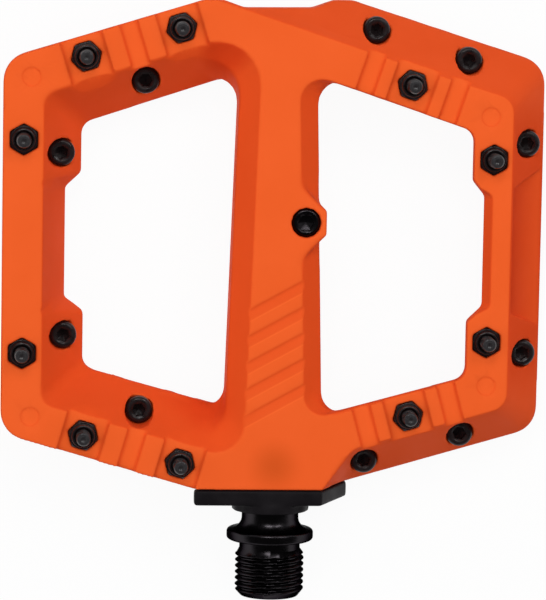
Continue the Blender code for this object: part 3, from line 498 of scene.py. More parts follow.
def crank_end(start, end, sizes):
    """The spindle's key socket, crank thread, relief and flange, as rings from the socket's floor on."""
    floor = end + sizes.key_depth
    mouth = hexagon(sizes.key, sizes.key)
    rings = [(0.3 * MM, floor + 1.2 * MM), (sizes.key / 2 - 0.2 * MM, floor)]
    rings += [(mouth, floor), (mouth, end + 0.5 * MM), (sizes.key * 0.6, end)]
    rings += rim(sizes.thread_radius - 0.8 * sizes.lead, end, 0.4 * MM, 270, 315)
    thread = rows(end + sizes.lead, start - sizes.runout, sizes.pitch / 14)
    rings += [(sizes.thread_radius, y) for y in thread]
    rings += [
        (sizes.relief_radius, start),
        (sizes.relief_radius, -0.35 * MM),
        (sizes.relief_radius + 0.35 * MM, 0),
        *rim(sizes.flange_radius, 0, sizes.edge, 270, 360),
        *rim(sizes.flange_radius, sizes.flange, sizes.edge, 0, 60),
    ]
    return rings


def neck_fillet(sizes):
    """The hollow curve from the flange's rim down to the neck."""
    radius = sizes.flange_radius - sizes.edge - sizes.neck_radius
    neck, rim_top = sizes.neck_radius, sizes.flange
    turns = [math.pi / 2 * i / 14 for i in range(1, 15)]
    return [(neck + radius * (1 - math.sin(a)), rim_top + radius * (1 - math.cos(a))) for a in turns]


def hub_end(high, sizes):
    """What turns in the hub: the journal, the notch for the retention screw and the stub in the bearing."""
    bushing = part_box("inboard_bushing")
    bush_start, bush_end = bushing[0].y - STEP_GAP, bushing[1].y + BUSH_GAP
    notch = CENTRE.y + NOTCH_PLACE
    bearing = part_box("bearing_inner_race")[0].y - RACE_GAP
    return [
        (sizes.neck_radius, bush_start), (JOURNAL, bush_start), (JOURNAL, bush_end), (SHAFT, bush_end),
        (SHAFT, notch - NOTCH_HALF), (NOTCH, notch - NOTCH_HALF),
        (NOTCH, notch + NOTCH_HALF), (SHAFT, notch + NOTCH_HALF), (SHOULDER, bearing),
        (STUB, bearing), (STUB, high - sizes.edge), (STUB - sizes.edge, high),
    ]


# Places on the platform

def from_centre(x, y):
    """A place in plan, from millimetres off the middle of the pins."""
    return Vector((x * MM + CENTRE.x, y * MM + CENTRE.y))


def on_upper(place):
    """Which face a place is on, and its plan on the upper one; turned half round Y that is the lower one."""
    side = math.copysign(1, place.z)
    return side, Vector((place.x * side, place.y))


def on_beam(place):
    """Whether a place lies far enough from the middle to be on a beam."""
    return abs(place[1] - CENTRE.y) > bpy.context.scene.pedal_platform.beam_start


def spots_of(names, turned=False, turns=None):
    """Where the copies for these CAD nodes go, and which way they face."""
    spots = []
    for i, name in enumerate(names):
        low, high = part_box(name)
        place = Vector(((low.x + high.x) / 2, (low.y + high.y) / 2, 0))
        over = turned or name.endswith("_lower")
        spots.append((tuple(place), (0, math.pi if over else 0, turns(i, place) if turns else 0)))
    return spots


def plan_of(names):
    """The axes of these CAD nodes in plan."""
    return [Vector(place[:2]) for place, facing in spots_of(names)]


def nut_turn(i, place):
    """Nuts on a beam have two corners along it, and those on a rail along the spindle."""
    out = place.y - CENTRE.y
    if not on_beam(place):
        return 0.0
    angle = BEAM_ANGLES[0] if out > 0 else BEAM_ANGLES[1]
    return -math.copysign(angle, place.x * out) + math.pi / 6


# Geometry nodes: a threaded blank, copied to its places

def node(tree, kind, *values, **settings):
    """Adds a node, sets it, and links or fills its inputs in order; None leaves one as it is."""
    made = tree.nodes.new(kind)
    for key, value in settings.items():
        setattr(made, key, value)
    for socket, value in zip(made.inputs, values):
        if isinstance(value, bpy.types.NodeSocket):
            tree.links.new(value, socket)
        elif value is not None:
            socket.default_value = value
    return made


def add_sockets(tree, way, kinds):
    """Gives a tree its inputs or outputs, each with a name and a kind."""
    for key, kind in kinds:
        tree.interface.new_socket(key, in_out=way, socket_type="NodeSocket" + kind)


def maths(tree, operation, *values):
    """The result of a sum on values or sockets."""
    return node(tree, "ShaderNodeMath", *values, operation=operation).outputs[0]


def product(tree, first, *others):
    """The first value times each of the others."""
    for value in others:
        first = maths(tree, "MULTIPLY", first, value)
    return first


def remap(tree, value, low, high, first=0.0, last=1.0, **settings):
    """A value between low and high brought to the range from first to last, and held in it."""
    return node(tree, "ShaderNodeMapRange", value, low, high, first, last, **settings).outputs[0]


def threaded_copies():
    """A tree that cuts a thread round Z into a blank and sets copies of it at another object's points."""
    tree = bpy.data.node_groups.new("threaded_copies", "GeometryNodeTree")
    sizes = [(key, "Float") for key in THREAD_SIZES]
    add_sockets(tree, "INPUT", [("Blank", "Geometry"), *sizes, ("Places", "Object"), ("Finish", "Material")])
    add_sockets(tree, "OUTPUT", [("Pieces", "Geometry")])
    blank, radius, pitch, depth, start, end, places, coating = list(node(tree, "NodeGroupInput").outputs)[:8]

    place = node(tree, "GeometryNodeInputPosition").outputs[0]
    x, y, z = node(tree, "ShaderNodeSeparateXYZ", place).outputs
    turn = maths(tree, "DIVIDE", maths(tree, "ARCTAN2", y, x), TAU)
    phase = maths(tree, "SUBTRACT", maths(tree, "DIVIDE", z, pitch), turn)
    groove = remap(tree, product(tree, maths(tree, "PINGPONG", phase, 0.5), 2.0), CREST, ROOT)
    square = maths(tree, "ADD", product(tree, x, x), product(tree, y, y))
    reach = maths(tree, "SQRT", square)
    skin = maths(tree, "GREATER_THAN", reach, product(tree, radius, SKIN))
    opening = remap(tree, z, start, maths(tree, "ADD", start, pitch))
    ending = remap(tree, z, end, maths(tree, "SUBTRACT", end, pitch))
    cut = product(tree, depth, groove, product(tree, opening, ending, skin))
    share = product(tree, maths(tree, "DIVIDE", cut, maths(tree, "MAXIMUM", reach, 1e-6)), -1.0)
    inward = node(tree, "ShaderNodeCombineXYZ", product(tree, x, share), product(tree, y, share), 0.0)
    threaded = node(tree, "GeometryNodeSetPosition", blank, None, None, inward.outputs[0]).outputs[0]

    info = node(tree, "GeometryNodeObjectInfo", places)
    facing = node(tree, "GeometryNodeInputNamedAttribute", "facing", data_type="FLOAT_VECTOR").outputs[0]
    copies = node(tree, "GeometryNodeInstanceOnPoints", info.outputs["Geometry"])
    tree.links.new(threaded, copies.inputs["Instance"])
    turned = node(tree, "FunctionNodeEulerToRotation", facing).outputs[0]
    tree.links.new(turned, copies.inputs["Rotation"])
    real = node(tree, "GeometryNodeRealizeInstances", copies.outputs[0]).outputs[0]
    finished = node(tree, "GeometryNodeSetMaterial", real, None, coating).outputs[0]
    node(tree, "NodeGroupOutput", finished)
    return tree


def copy_blank(name, blank, spots, material=None, thread=NO_THREAD):
    """Cuts a thread into a blank and sets copies of it at spots, turned as these say."""
    piece = new_object(name, blank)
    mesh = bpy.data.meshes.new("places")
    mesh.from_pydata([place for place, facing in spots], [], [])
    turn = mesh.attributes.new("facing", "FLOAT_VECTOR", "POINT")
    for i, (place, facing) in enumerate(spots):
        turn.data[i].vector = facing
    places = new_object("places", mesh)
    tree = bpy.data.node_groups.get("threaded_copies") or threaded_copies()
    modifier = piece.modifiers.new("Copies", "NODES")
    modifier.node_group = tree
    inputs = {s.name: s.identifier for s in tree.interface.items_tree if s.in_out == "INPUT"}
    for key, value in zip(THREAD_SIZES, thread):
        modifier[inputs[key]] = value
    modifier[inputs["Places"]] = places
    if material:
        modifier[inputs["Finish"]] = material
    bake(piece)
    bpy.data.objects.remove(places)
    return piece


# Materials

def coordinates(tree, kind):
    """Places or directions over the surface of an object."""
    return node(tree, "ShaderNodeTexCoord").outputs[kind]


def surface_skin():
    """The group in all materials: fine grain and slow blotches over a surface, from Object coordinates."""
    tree = bpy.data.node_groups.new("surface_skin", "ShaderNodeTree")
    add_sockets(tree, "INPUT", [("Grain scale", "Float"), ("Blotch scale", "Float")])
    add_sockets(tree, "OUTPUT", [("Grain", "Float"), ("Blotch", "Float")])
    scales = list(node(tree, "NodeGroupInput").outputs)[:2]
    place = coordinates(tree, "Object")
    patterns = []
    for scale, detail in zip(scales, (3.0, 4.0)):
        noise = node(tree, "ShaderNodeTexNoise", place)
        tree.links.new(scale, noise.inputs["Scale"])
        noise.inputs["Detail"].default_value = detail
        patterns.append(noise.outputs[0])
    node(tree, "NodeGroupOutput", *patterns)
    return tree


def groove_masks(tree):
    """Masks for painted shade on the ramps of the grooves across the spine, and for a painted highlight on
    the fine edge where each ramp comes back to the face.
    """
    place = node(tree, "ShaderNodeSeparateXYZ", coordinates(tree, "Object")).outputs
    out = maths(tree, "SUBTRACT", place["X"], CENTRE.x)
    turned = product(tree, out, maths(tree, "SIGN", place["Z"]))
    start = maths(tree, "MULTIPLY_ADD", turned, GROOVE_RISE, CENTRE.y + GROOVE_FIRST)
    down = maths(tree, "DIVIDE", maths(tree, "SUBTRACT", start, place["Y"]), GROOVE_PITCH)
    along = maths(tree, "FRACT", down)
    half_width = bpy.context.scene.pedal_platform.hub_reach
    spine = maths(tree, "LESS_THAN", maths(tree, "ABSOLUTE", out), half_width)
    zone = product(tree, spine, maths(tree, "COMPARE", down, GROOVE_COUNT / 2, GROOVE_COUNT / 2))
    fall = remap(tree, along, 0.0, GROOVE_SHARE, 1.0, RAMP_LEFT)
    ramp = product(tree, fall, maths(tree, "LESS_THAN", along, GROOVE_SHARE))
    off = maths(tree, "ABSOLUTE", maths(tree, "SUBTRACT", along, GROOVE_SHARE))
    edge = remap(tree, off, 0.0, EDGE_WIDTH, 1.0, 0.0)
    return product(tree, ramp, zone), product(tree, edge, zone)


def mixed(tree, factor, first, second):
    """A colour between two, each a socket or three numbers."""
    made = node(tree, "ShaderNodeMix", data_type="RGBA")
    tree.links.new(factor, made.inputs["Factor"])
    for key, value in (("A", first), ("B", second)):
        socket = next(s for s in made.inputs if s.name == key and s.type == "RGBA")
        if isinstance(value, bpy.types.NodeSocket):
            tree.links.new(value, socket)
        else:
            socket.default_value = (*value, 1)
    return next(s for s in made.outputs if s.type == "RGBA")


def finish(name, pale, deep, roughness, grain, bump, metallic=0.0, specular=0.5, blotch=90.0):
    """A surface whose tone and roughness wander between two values, with a fine grain."""
    if name in bpy.data.materials:
        return bpy.data.materials[name]
    material = bpy.data.materials.new(name)
    material.use_nodes = True
    tree = material.node_tree
    shader = tree.nodes["Principled BSDF"]
    group = bpy.data.node_groups.get("surface_skin") or surface_skin()
    skin = node(tree, "ShaderNodeGroup", node_tree=group)
    skin.inputs["Grain scale"].default_value = 1 / grain
    skin.inputs["Blotch scale"].default_value = blotch
    tone = node(tree, "ShaderNodeMapRange", skin.outputs["Blotch"], 0.35, 0.65, 0.0, 1.0)
    tone.name = "Tone"
    tree.links.new(mixed(tree, tone.outputs[0], pale, deep), shader.inputs["Base Color"])
    rough = remap(tree, skin.outputs["Blotch"], 0.35, 0.65, *roughness)
    tree.links.new(rough, shader.inputs["Roughness"])
    relief = node(tree, "ShaderNodeBump")
    relief.inputs["Strength"].default_value = bump
    relief.inputs["Distance"].default_value = grain / 4
    tree.links.new(skin.outputs["Grain"], relief.inputs["Height"])
    tree.links.new(relief.outputs["Normal"], shader.inputs["Normal"])
    shader.inputs["Metallic"].default_value = metallic
    shader.inputs["Specular IOR Level"].default_value = specular
    return material


def orange_nylon():
    """Moulded nylon: paler on faces, with painted highlights along edges, painted shade on slopes, in hollows
    and grooves, and a darker patch by the hub.
    """
    if "moulded_orange" in bpy.data.materials:
        return bpy.data.materials["moulded_orange"]
    look = bpy.context.scene.pedal_finish
    material = finish(
        "moulded_orange", look.face, look.face_deep, (0.50, 0.60), 0.22 * MM, 0.10, specular=0.02
    )
    tree = material.node_tree
    shader, tone = tree.nodes["Principled BSDF"], tree.nodes["Tone"].outputs[0]
    faces = shader.inputs["Base Color"].links[0].from_socket
    rough = shader.inputs["Roughness"].links[0].from_socket
    # Slopes get the side colours, which paint their shade; faces keep the face colours
    facing = node(tree, "ShaderNodeSeparateXYZ", coordinates(tree, "Normal")).outputs["Z"]
    level = remap(tree, maths(tree, "ABSOLUTE", facing), LEVEL_FROM, LEVEL_TO)
    moulded = mixed(tree, level, mixed(tree, tone, look.side, look.side_deep), faces)
    # A painted highlight along rounded edges, by how far the rounding moved them
    drawn = node(tree, "ShaderNodeAttribute", attribute_name="ridge_highlight").outputs["Fac"]
    moulded = mixed(tree, remap(tree, drawn, RIDGE_FROM, RIDGE_TO, 0.0, RIDGE_MOST), moulded, look.ridge_highlight)
    # Painted shade on the grooves' ramps and a painted highlight on their edges
    ramps, lines = groove_masks(tree)
    moulded = mixed(tree, product(tree, ramps, level, RAMP_SHADE), moulded, look.hollow)
    moulded = mixed(tree, product(tree, lines, level, EDGE_HIGHLIGHT), moulded, look.ridge_highlight)
    # Painted shade where the hollow attribute marks it; the same mask also makes those places rougher
    sunk = node(tree, "ShaderNodeAttribute", attribute_name="hollow").outputs["Fac"]
    moulded = mixed(tree, sunk, moulded, look.hollow)
    # A darker patch of the nylon's colour, fading out from a point on the hub's upper face
    spot = coordinates(tree, "Object"), CENTRE + DARK_PATCH_PLACE
    away = node(tree, "ShaderNodeVectorMath", *spot, operation="DISTANCE").outputs["Value"]
    patch = remap(tree, away, 0.0, DARK_PATCH_RADIUS, 1.0, 0.0, interpolation_type="SMOOTHSTEP")
    tree.links.new(mixed(tree, patch, moulded, look.dark_patch), shader.inputs["Base Color"])
    tree.links.new(maths(tree, "MULTIPLY_ADD", sunk, HOLLOW_ROUGH, rough), shader.inputs["Roughness"])
    return material


def black_oxide(name="black_oxide"):
    """Black oxide on steel fasteners."""
    look = bpy.context.scene.pedal_finish
    tones = look.oxide, look.oxide_worn
    return finish(name, *tones, (0.24, 0.40), 0.15 * MM, 0.08, specular=0.4, blotch=700.0)


def pin_oxide():
    """Black oxide, rubbed to bare steel at the ends of the pins."""
    if "pin_oxide" in bpy.data.materials:
        return bpy.data.materials["pin_oxide"]
    material = black_oxide("pin_oxide")
    tree = material.node_tree
    colour_in = tree.nodes["Principled BSDF"].inputs["Base Color"]
    place = node(tree, "ShaderNodeSeparateXYZ", coordinates(tree, "Object")).outputs["Z"]
    worn = remap(tree, maths(tree, "ABSOLUTE", place), BARE_FROM, BARE_TO)
    bare = bpy.context.scene.pedal_finish.tip
    tree.links.new(mixed(tree, worn, colour_in.links[0].from_socket, bare), colour_in)
    return material


def black_plating():
    """Black plating: a dark metal that stays dark where it is seen along its surface."""
    look = bpy.context.scene.pedal_finish
    tones = look.plating, look.plating_worn
    material = finish("black_plating", *tones, (0.24, 0.34), 0.2 * MM, 0.03, metallic=1.0, blotch=260.0)
    shader = material.node_tree.nodes["Principled BSDF"]
    shader.inputs["Specular Tint"].default_value = (*look.plating_rim, 1)
    return material


def black_nylon():
    """Moulded black nylon."""
    look = bpy.context.scene.pedal_finish
    tones = look.plate, look.plate_pale
    return finish("moulded_black", *tones, (0.42, 0.54), 0.2 * MM, 0.12, specular=0.06, blotch=200.0)


# Shaping of the platform

def turn_pockets(shell, look):
    """Closes the pockets of the nuts and cuts them again, snug and turned as the nuts are."""
    sizes = bpy.context.scene.pedal_fasteners
    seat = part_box("nut_front_outer_1_upper")[0].z - look.pocket_gap
    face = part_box("platform")[1].z
    beams = [name for name in LOCK_NUTS if on_beam(plan_of([name])[0])]
    rails = [name for name in LOCK_NUTS if name not in beams]
    inner, outer = sizes.nut_across / 2 - FILL_INSIDE, sizes.nut_across / math.sqrt(3) + FILL_OUTSIDE
    tools = []
    for names, top in ((beams, face - look.pad_depth), (rails, face)):
        low, high = seat - FILL_BELOW, top - FILL_SHORT
        ring = lofted([(inner, low), (outer, low), (outer, high), (inner, high)], sizes.sides, closed=True)
        tools.append(("UNION", copy_blank("pocket_fill", ring, spots_of(names))))
    corners = hexagon(sizes.nut_across + 2 * look.pocket_gap, turn=math.pi / 2)
    pocket = lofted([(corners, seat), (corners, face + 1 * MM)], sizes.sides)
    tools.append(("DIFFERENCE", copy_blank("pocket_cut", pocket, spots_of(LOCK_NUTS, turns=nut_turn))))
    for operation, tool in tools:
        joined = shell.modifiers.new("Pockets", "BOOLEAN")
        joined.operation, joined.solver, joined.object = operation, "EXACT", tool
    bake(shell)
    for operation, tool in tools:
        bpy.data.objects.remove(tool)


def ease_pads(mesh, look):
    """Lays the soft facets where the pads run out over the window's ridge, on both faces."""
    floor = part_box("platform")[1].z - look.pad_depth
    for first, second, start, fall in PAD_LIPS:
        nuts = plan_of((first, second))
        along = (nuts[1] - nuts[0]).normalized()
        across = Vector((along.y, -along.x))
        if across.y * (CENTRE.y - nuts[0].y) < 0:
            across.negate()
        rise = math.sin(fall) * LIP_RISE
        for vertex in mesh.vertices:
            if (vertex.co.y - CENTRE.y) * across.y > 0 or not on_beam(vertex.co):
                continue
            side, spot = on_upper(vertex.co)
            for nut in nuts:
                away = (spot - nut).dot(across)
                end = (spot - nut).dot(along) / look.lip_half
                if not start - LIP_BEFORE < away < start + LIP_AFTER or abs(end) > LIP_ENDS:
                    continue
                over = (away - start) * math.sin(fall) + (abs(vertex.co.z) - floor) * math.cos(fall)
                over -= rise * end**4
                if over > 0:
                    step = across * (over * math.sin(fall))
                    vertex.co.x -= step.x * side
                    vertex.co.y -= step.y
                    vertex.co.z -= side * over * math.cos(fall)


def clear_of(seats, place, look):
    """1 away from the fasteners' crisp seats, falling to 0 and below at their edges."""
    gap = min((place.xy - seat).length for seat in seats)
    return min(1.0, (gap - look.seat_reach) / look.voxel)


def blend_steps(shell, look):
    """Rounds the slopes of the beams, and hollows the recesses below their crisp upper edges."""
    seats = plan_of(PINS + ["retention_screw"])
    lines = {}
    for name in LOCK_NUTS:
        nut = plan_of([name])[0]
        if on_beam(nut):
            angle = nut_turn(0, nut) - math.pi / 6
            square = Vector((-math.sin(angle), math.cos(angle)))
            lines[nut.x > 0, nut.y > CENTRE.y, name.endswith("_upper")] = nut, square
    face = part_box("platform")[1].z
    slopes = shell.vertex_groups.new(name="slopes")
    steps = shell.vertex_groups.new(name="steps")
    for vertex in shell.data.vertices:
        place = vertex.co
        if not on_beam(place) or abs(place.x) < look.hub_reach:
            continue
        weight = clear_of(seats, place, look)
        if weight <= 0:
            continue
        nut, square = lines[place.x > 0, place.y > CENTRE.y, place.z > 0]
        sunk = face - abs(place.z)
        if sunk > look.pad_depth + SLOPE_MARGIN or abs((place.xy - nut).dot(square)) > look.step_reach:
            slopes.add([vertex.index], weight, "REPLACE")
        elif sunk > look.step_edge:
            steps.add([vertex.index], weight, "REPLACE")
    smooth(shell, look.blending, "slopes")
    smooth(shell, look.easing, "steps")
    bake(shell)
    shell.vertex_groups.clear()


def round_corners(shell, look):
    """Rounds the corners beside the retention boss and where the spine meets the beams."""
    seats = plan_of(PINS + ["retention_screw"])
    corners = shell.vertex_groups.new(name="corners")
    for place, reach, through in SOFT_CORNERS:
        middle = from_centre(*place)
        for vertex in shell.data.vertices:
            spot = vertex.co.xy if through else on_upper(vertex.co)[1]
            weight = min(1.0, CORNER_FADE * (1 - (spot - middle).length / (reach * MM)))
            if weight <= 0:
                continue
            clear = clear_of(seats, vertex.co, look)
            if clear > 0:
                corners.add([vertex.index], weight * clear, "REPLACE")
    smooth(shell, look.rounding, "corners")
    bake(shell)
    shell.vertex_groups.clear()


def press_marks(mesh, look):
    """Presses the round marks into both faces."""
    top = max(vertex.co.z for vertex in mesh.vertices)
    marks = [from_centre(*place) for place in EJECTOR_MARKS]
    for vertex in mesh.vertices:
        if top - abs(vertex.co.z) > look.mark_depth:
            continue
        side, spot = on_upper(vertex.co)
        inside = max((look.mark_radius - (spot - mark).length) / look.voxel for mark in marks)
        vertex.co.z -= side * look.mark_depth * clamp(inside)


def mark_painted_shade(mesh):
    """Marks where shade is painted on the nylon: the rails' outer slopes, their hollows and the deep corners,
    which the finish darkens.
    """
    hollow = mesh.attributes.new("hollow", "FLOAT", "POINT")
    along = SCOOP_END - SCOOP_START
    normal = Vector((-along.y, along.x)).normalized()
    for vertex in mesh.vertices:
        side = math.copysign(1, vertex.co.x)
        place = Vector((vertex.co.x * side, vertex.co.z * side)) - SCOOP_START
        share = place.dot(along) / along.length_squared
        out = abs(vertex.co.y - CENTRE.y)
        sunk = -place.dot(normal)
        painted_shade = 0.0
        if 0 < share < 1 and -SCOOP_ABOVE < sunk < SCOOP_BELOW:
            painted_shade = SLOPE_SHADE * clamp((SLOPE_END - out) / SLOPE_FADE)
            if out < SCOOP_HALF + SCOOP_FLARE * place.x / along.x:
                painted_shade += (1 - share - painted_shade) * clamp(sunk / SCOOP_SHADE_DEPTH)
        if vertex.co.z * side <= -SCOOP_END.y:
            steep = clamp((STEEP_BELOW - abs(vertex.normal.z)) / STEEP_FADE)
            spot = Vector((-abs(vertex.co.x), vertex.co.y))
            for corner, reach, most in DEEP_CORNERS:
                gap = (spot - from_centre(*corner)).length / (reach * MM)
                painted_shade = max(painted_shade, most * steep * clamp(DEEP_FADE * (1 - gap)))
        hollow.data[vertex.index].value = painted_shade


# Studio

def pale_floor():
    """A floor that the camera, metal and glass see as white, with a faint shadow."""
    material = bpy.data.materials.new("pale_floor")
    material.use_nodes = True
    tree = material.node_tree
    tree.nodes.clear()
    path = node(tree, "ShaderNodeLightPath").outputs
    seen = maths(tree, "MAXIMUM", path["Is Camera Ray"], path["Is Glossy Ray"])
    seen = maths(tree, "MAXIMUM", seen, path["Is Transmission Ray"])
    white = node(tree, "ShaderNodeEmission", (1, 1, 1, 1), 1.0).outputs[0]
    matte = node(tree, "ShaderNodeBsdfDiffuse", (FLOOR_GREY, FLOOR_GREY, FLOOR_GREY, 1)).outputs[0]
    shadowed = node(tree, "ShaderNodeMixShader", FLOOR_WHITE, matte, white).outputs[0]
    result = node(tree, "ShaderNodeMixShader", seen, matte, shadowed).outputs[0]
    node(tree, "ShaderNodeOutputMaterial", result)
    return material


def make_floor(look):
    """A round floor that bends up into a wall."""
    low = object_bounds()[0].z
    bend = look.wall / 2
    arc = [math.radians(90) * i / FLOOR_BEND for i in range(FLOOR_BEND + 1)]
    rings = [(look.floor_radius + bend * math.sin(a), bend * (1 - math.cos(a))) for a in arc]
    rings = [(0.001, 0), *rings, (look.floor_radius + bend, look.wall)]
    mesh = lofted(rings, FLOOR_SIDES, lid=False)
    mesh.transform(Matrix.Translation((CENTRE.x, CENTRE.y, low - FLOOR_GAP)))
    mesh.shade_smooth()
    floor = new_object("studio_floor", mesh)
    mesh.materials.append(pale_floor())
    floor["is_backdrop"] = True


def make_lights(look):
    """Light from all round, and the soft lights turned towards the pedal."""
    scene = bpy.context.scene
    scene.world = bpy.data.worlds.new("studio")
    scene.world.use_nodes = True
    background = scene.world.node_tree.nodes["Background"]
    background.inputs["Color"].default_value = (1, 1, 1, 1)
    background.inputs["Strength"].default_value = look.ambient
    for name, towards, width, height, share, glossy in SOFT_LIGHTS:
        light = bpy.data.lights.new(name, "AREA")
        light.shape = "RECTANGLE"
        light.size, light.size_y = width * MM, height * MM
        light.energy = look.power * share
        lamp = new_object(name, light)
        place = Vector(towards).normalized() * look.distance
        lamp.location = CENTRE + place
        lamp.rotation_euler = place.to_track_quat("Z", "Y").to_euler()
        lamp.visible_glossy = glossy
        lamp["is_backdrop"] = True


def make_camera():
    """The camera of the photograph, fitted to the pins."""
    x, y, z = (Matrix.Rotation(turn, 3, axis) for turn, axis in zip(CAMERA_TURNS, "XYZ"))
    seen = z @ y @ x
    data = bpy.data.cameras.new("photo_camera")
    data.lens = CAMERA_LENS
    camera = new_object("photo_camera", data)
    away = Vector((0, 0, CAMERA_DISTANCE)) - CAMERA_SHIFT
    place = Matrix.Translation(CENTRE + seen.transposed() @ away)
    camera.matrix_world = place @ seen.transposed().to_4x4()
    bpy.context.scene.camera = camera


# Operators, one for each piece or group of like pieces

class PEDAL_OT_platform(Operator):
    """Make the moulded platform, with soft edges and ejector marks"""

    bl_idname = "pedal.platform"
    bl_label = "Platform"

    def execute(self, context):
        look = context.scene.pedal_platform
        shell = merged_copy("platform", "platform_shell")
        turn_pockets(shell, look)
        soften(shell, look.voxel, look.smoothing)
        ease_pads(shell.data, look)
        blend_steps(shell, look)
        round_corners(shell, look)
        press_marks(shell.data, look)
        mark_painted_shade(shell.data)
        thin(shell, look.triangles)
        dress(shell, MOULDED_EDGE, orange_nylon(), PLATFORM, ["platform"])
        return {"FINISHED"}


class PEDAL_OT_pins(Operator):
    """Make the traction pins: socket-head screws with a threaded, cupped end"""

    bl_idname = "pedal.pins"
    bl_label = "Traction pins"

    def execute(self, context):
        sizes = context.scene.pedal_fasteners
        low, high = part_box("pin_front_outer_1_upper")
        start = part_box("nut_front_outer_1_upper")[1].z - THREAD_IN_NUT
        blank = screw_blank(
            low.z, high.z, (high.x - low.x) / 2, sizes.pin_head, sizes.pin_socket, sizes.socket_depth,
            sizes.pin_radius, start, sizes.pin_pitch, sizes.sides,
        )
        thread = (sizes.pin_radius, sizes.pin_pitch, sizes.pin_depth, start, high.z - THREAD_SHORT)
        spots = spots_of(PINS, turns=lambda i, place: SOCKET_TURN * i)
        pins = copy_blank("traction_pins", blank, spots, pin_oxide(), thread)
        dress(pins, FASTENER_EDGE, pin_oxide(), PLATFORM, PINS)
        return {"FINISHED"}


class PEDAL_OT_nuts(Operator):
    """Make the lock nuts: six sides with cut corners, and a hollow crown"""

    bl_idname = "pedal.nuts"
    bl_label = "Lock nuts"

    def execute(self, context):
        low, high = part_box("nut_front_outer_1_upper")
        blank = nut_blank(low.z, high.z, context.scene.pedal_fasteners)
        nuts = copy_blank("lock_nuts", blank, spots_of(LOCK_NUTS, turns=nut_turn), black_oxide())
        dress(nuts, FASTENER_EDGE, black_oxide(), PLATFORM, LOCK_NUTS)
        return {"FINISHED"}


class PEDAL_OT_spindle(Operator):
    """Make the turned spindle, with the crank thread and the key socket"""

    bl_idname = "pedal.spindle"
    bl_label = "Spindle"

    def execute(self, context):
        sizes = context.scene.pedal_spindle
        start = -sizes.relief_length
        end = start - sizes.thread_length
        rings = crank_end(start, end, sizes) + neck_fillet(sizes) + hub_end(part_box("spindle")[1].y, sizes)
        blank = lofted(rings, sizes.sides)
        thread = (sizes.thread_radius, sizes.pitch, sizes.depth, end + 0.4 * MM, start)
        spot = [((0, 0, 0), (-math.pi / 2, 0, 0))]
        spindle = copy_blank("turned_spindle", blank, spot, black_plating(), thread)
        dress(spindle, TURNED_EDGE, black_plating(), SPINDLE, ["spindle"])
        return {"FINISHED"}


class PEDAL_OT_seal_plate(Operator):
    """Make the moulded plate that closes the hub, with soft edges"""

    bl_idname = "pedal.seal_plate"
    bl_label = "Seal plate"

    def execute(self, context):
        look = context.scene.pedal_platform
        plate = merged_copy("seal_plate", "moulded_seal_plate")
        soften(plate, look.plate_voxel, look.plate_smoothing)
        thin(plate, look.plate_triangles)
        dress(plate, MOULDED_EDGE, black_nylon(), PLATFORM, ["seal_plate"])
        return {"FINISHED"}


class PEDAL_OT_retention(Operator):
    """Make the screw that keeps the spindle in the hub"""

    bl_idname = "pedal.retention"
    bl_label = "Retention screw"

    def execute(self, context):
        sizes = context.scene.pedal_fasteners
        low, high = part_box("retention_screw")
        start = -high.z + sizes.screw_head + SCREW_PLAIN
        blank = screw_blank(
            -high.z, -low.z, (high.x - low.x) / 2, sizes.screw_head, sizes.screw_socket, SCREW_SOCKET_DEPTH,
            sizes.screw_radius, start, sizes.screw_pitch, sizes.sides,
        )
        thread = (sizes.screw_radius, sizes.screw_pitch, SCREW_THREAD_DEPTH, start, -low.z - THREAD_SHORT)
        spot = spots_of(["retention_screw"], turned=True)
        screw = copy_blank("hub_retention_screw", blank, spot, black_plating(), thread)
        dress(screw, FASTENER_EDGE, black_plating(), PLATFORM, ["retention_screw"])
        return {"FINISHED"}


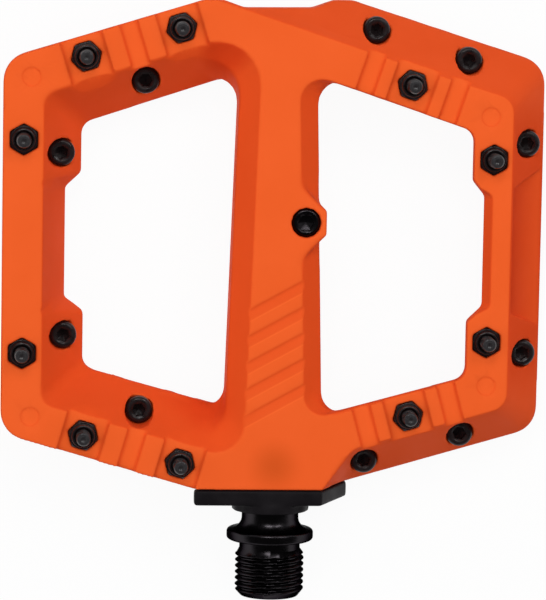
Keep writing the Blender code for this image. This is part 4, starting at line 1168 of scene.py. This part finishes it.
class PEDAL_OT_inner_pieces(Operator):
    """Finish the bearing, the bushing, the seal and the insert, which keep their CAD shapes"""

    bl_idname = "pedal.inner_pieces"
    bl_label = "Inner pieces"

    def execute(self, context):
        for nodes, name, pale, deep, roughness, grain, bump, metallic, blotch in INNER_FINISHES:
            material = finish(name, pale, deep, roughness, grain, bump, metallic, blotch=blotch)
            for key in nodes:
                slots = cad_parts[key].data.materials
                slots.clear()
                slots.append(material)
        return {"FINISHED"}


class PEDAL_OT_stage(Operator):
    """Make the floor, the light and the camera"""

    bl_idname = "pedal.stage"
    bl_label = "Studio"

    def execute(self, context):
        look = context.scene.pedal_studio
        make_floor(look)
        make_lights(look)
        make_camera()
        context.scene.view_settings.view_transform = "Standard"
        return {"FINISHED"}


OPERATORS = (
    PEDAL_OT_platform,
    PEDAL_OT_pins,
    PEDAL_OT_nuts,
    PEDAL_OT_spindle,
    PEDAL_OT_seal_plate,
    PEDAL_OT_retention,
    PEDAL_OT_inner_pieces,
    PEDAL_OT_stage,
)


class PEDAL_PT_look(Panel):
    """Lists the pieces"""

    bl_label = "Flat pedal"
    bl_idname = "PEDAL_PT_look"
    bl_space_type = "VIEW_3D"
    bl_region_type = "UI"
    bl_category = "Pedal"

    def draw(self, context):
        for operator in OPERATORS:
            self.layout.operator(operator.bl_idname)


def register():
    for name, group in GROUPS:
        bpy.utils.register_class(group)
        setattr(bpy.types.Scene, name, PointerProperty(type=group))
    for operator in OPERATORS:
        bpy.utils.register_class(operator)
    bpy.utils.register_class(PEDAL_PT_look)


def unregister():
    bpy.utils.unregister_class(PEDAL_PT_look)
    for operator in reversed(OPERATORS):
        bpy.utils.unregister_class(operator)
    for name, group in reversed(GROUPS):
        delattr(bpy.types.Scene, name)
        bpy.utils.unregister_class(group)


def main():
    register()
    bpy.ops.pedal.platform()
    bpy.ops.pedal.pins()
    bpy.ops.pedal.nuts()
    bpy.ops.pedal.spindle()
    bpy.ops.pedal.seal_plate()
    bpy.ops.pedal.retention()
    bpy.ops.pedal.inner_pieces()
    bpy.ops.pedal.stage()


if __name__ == "__main__":
    main()
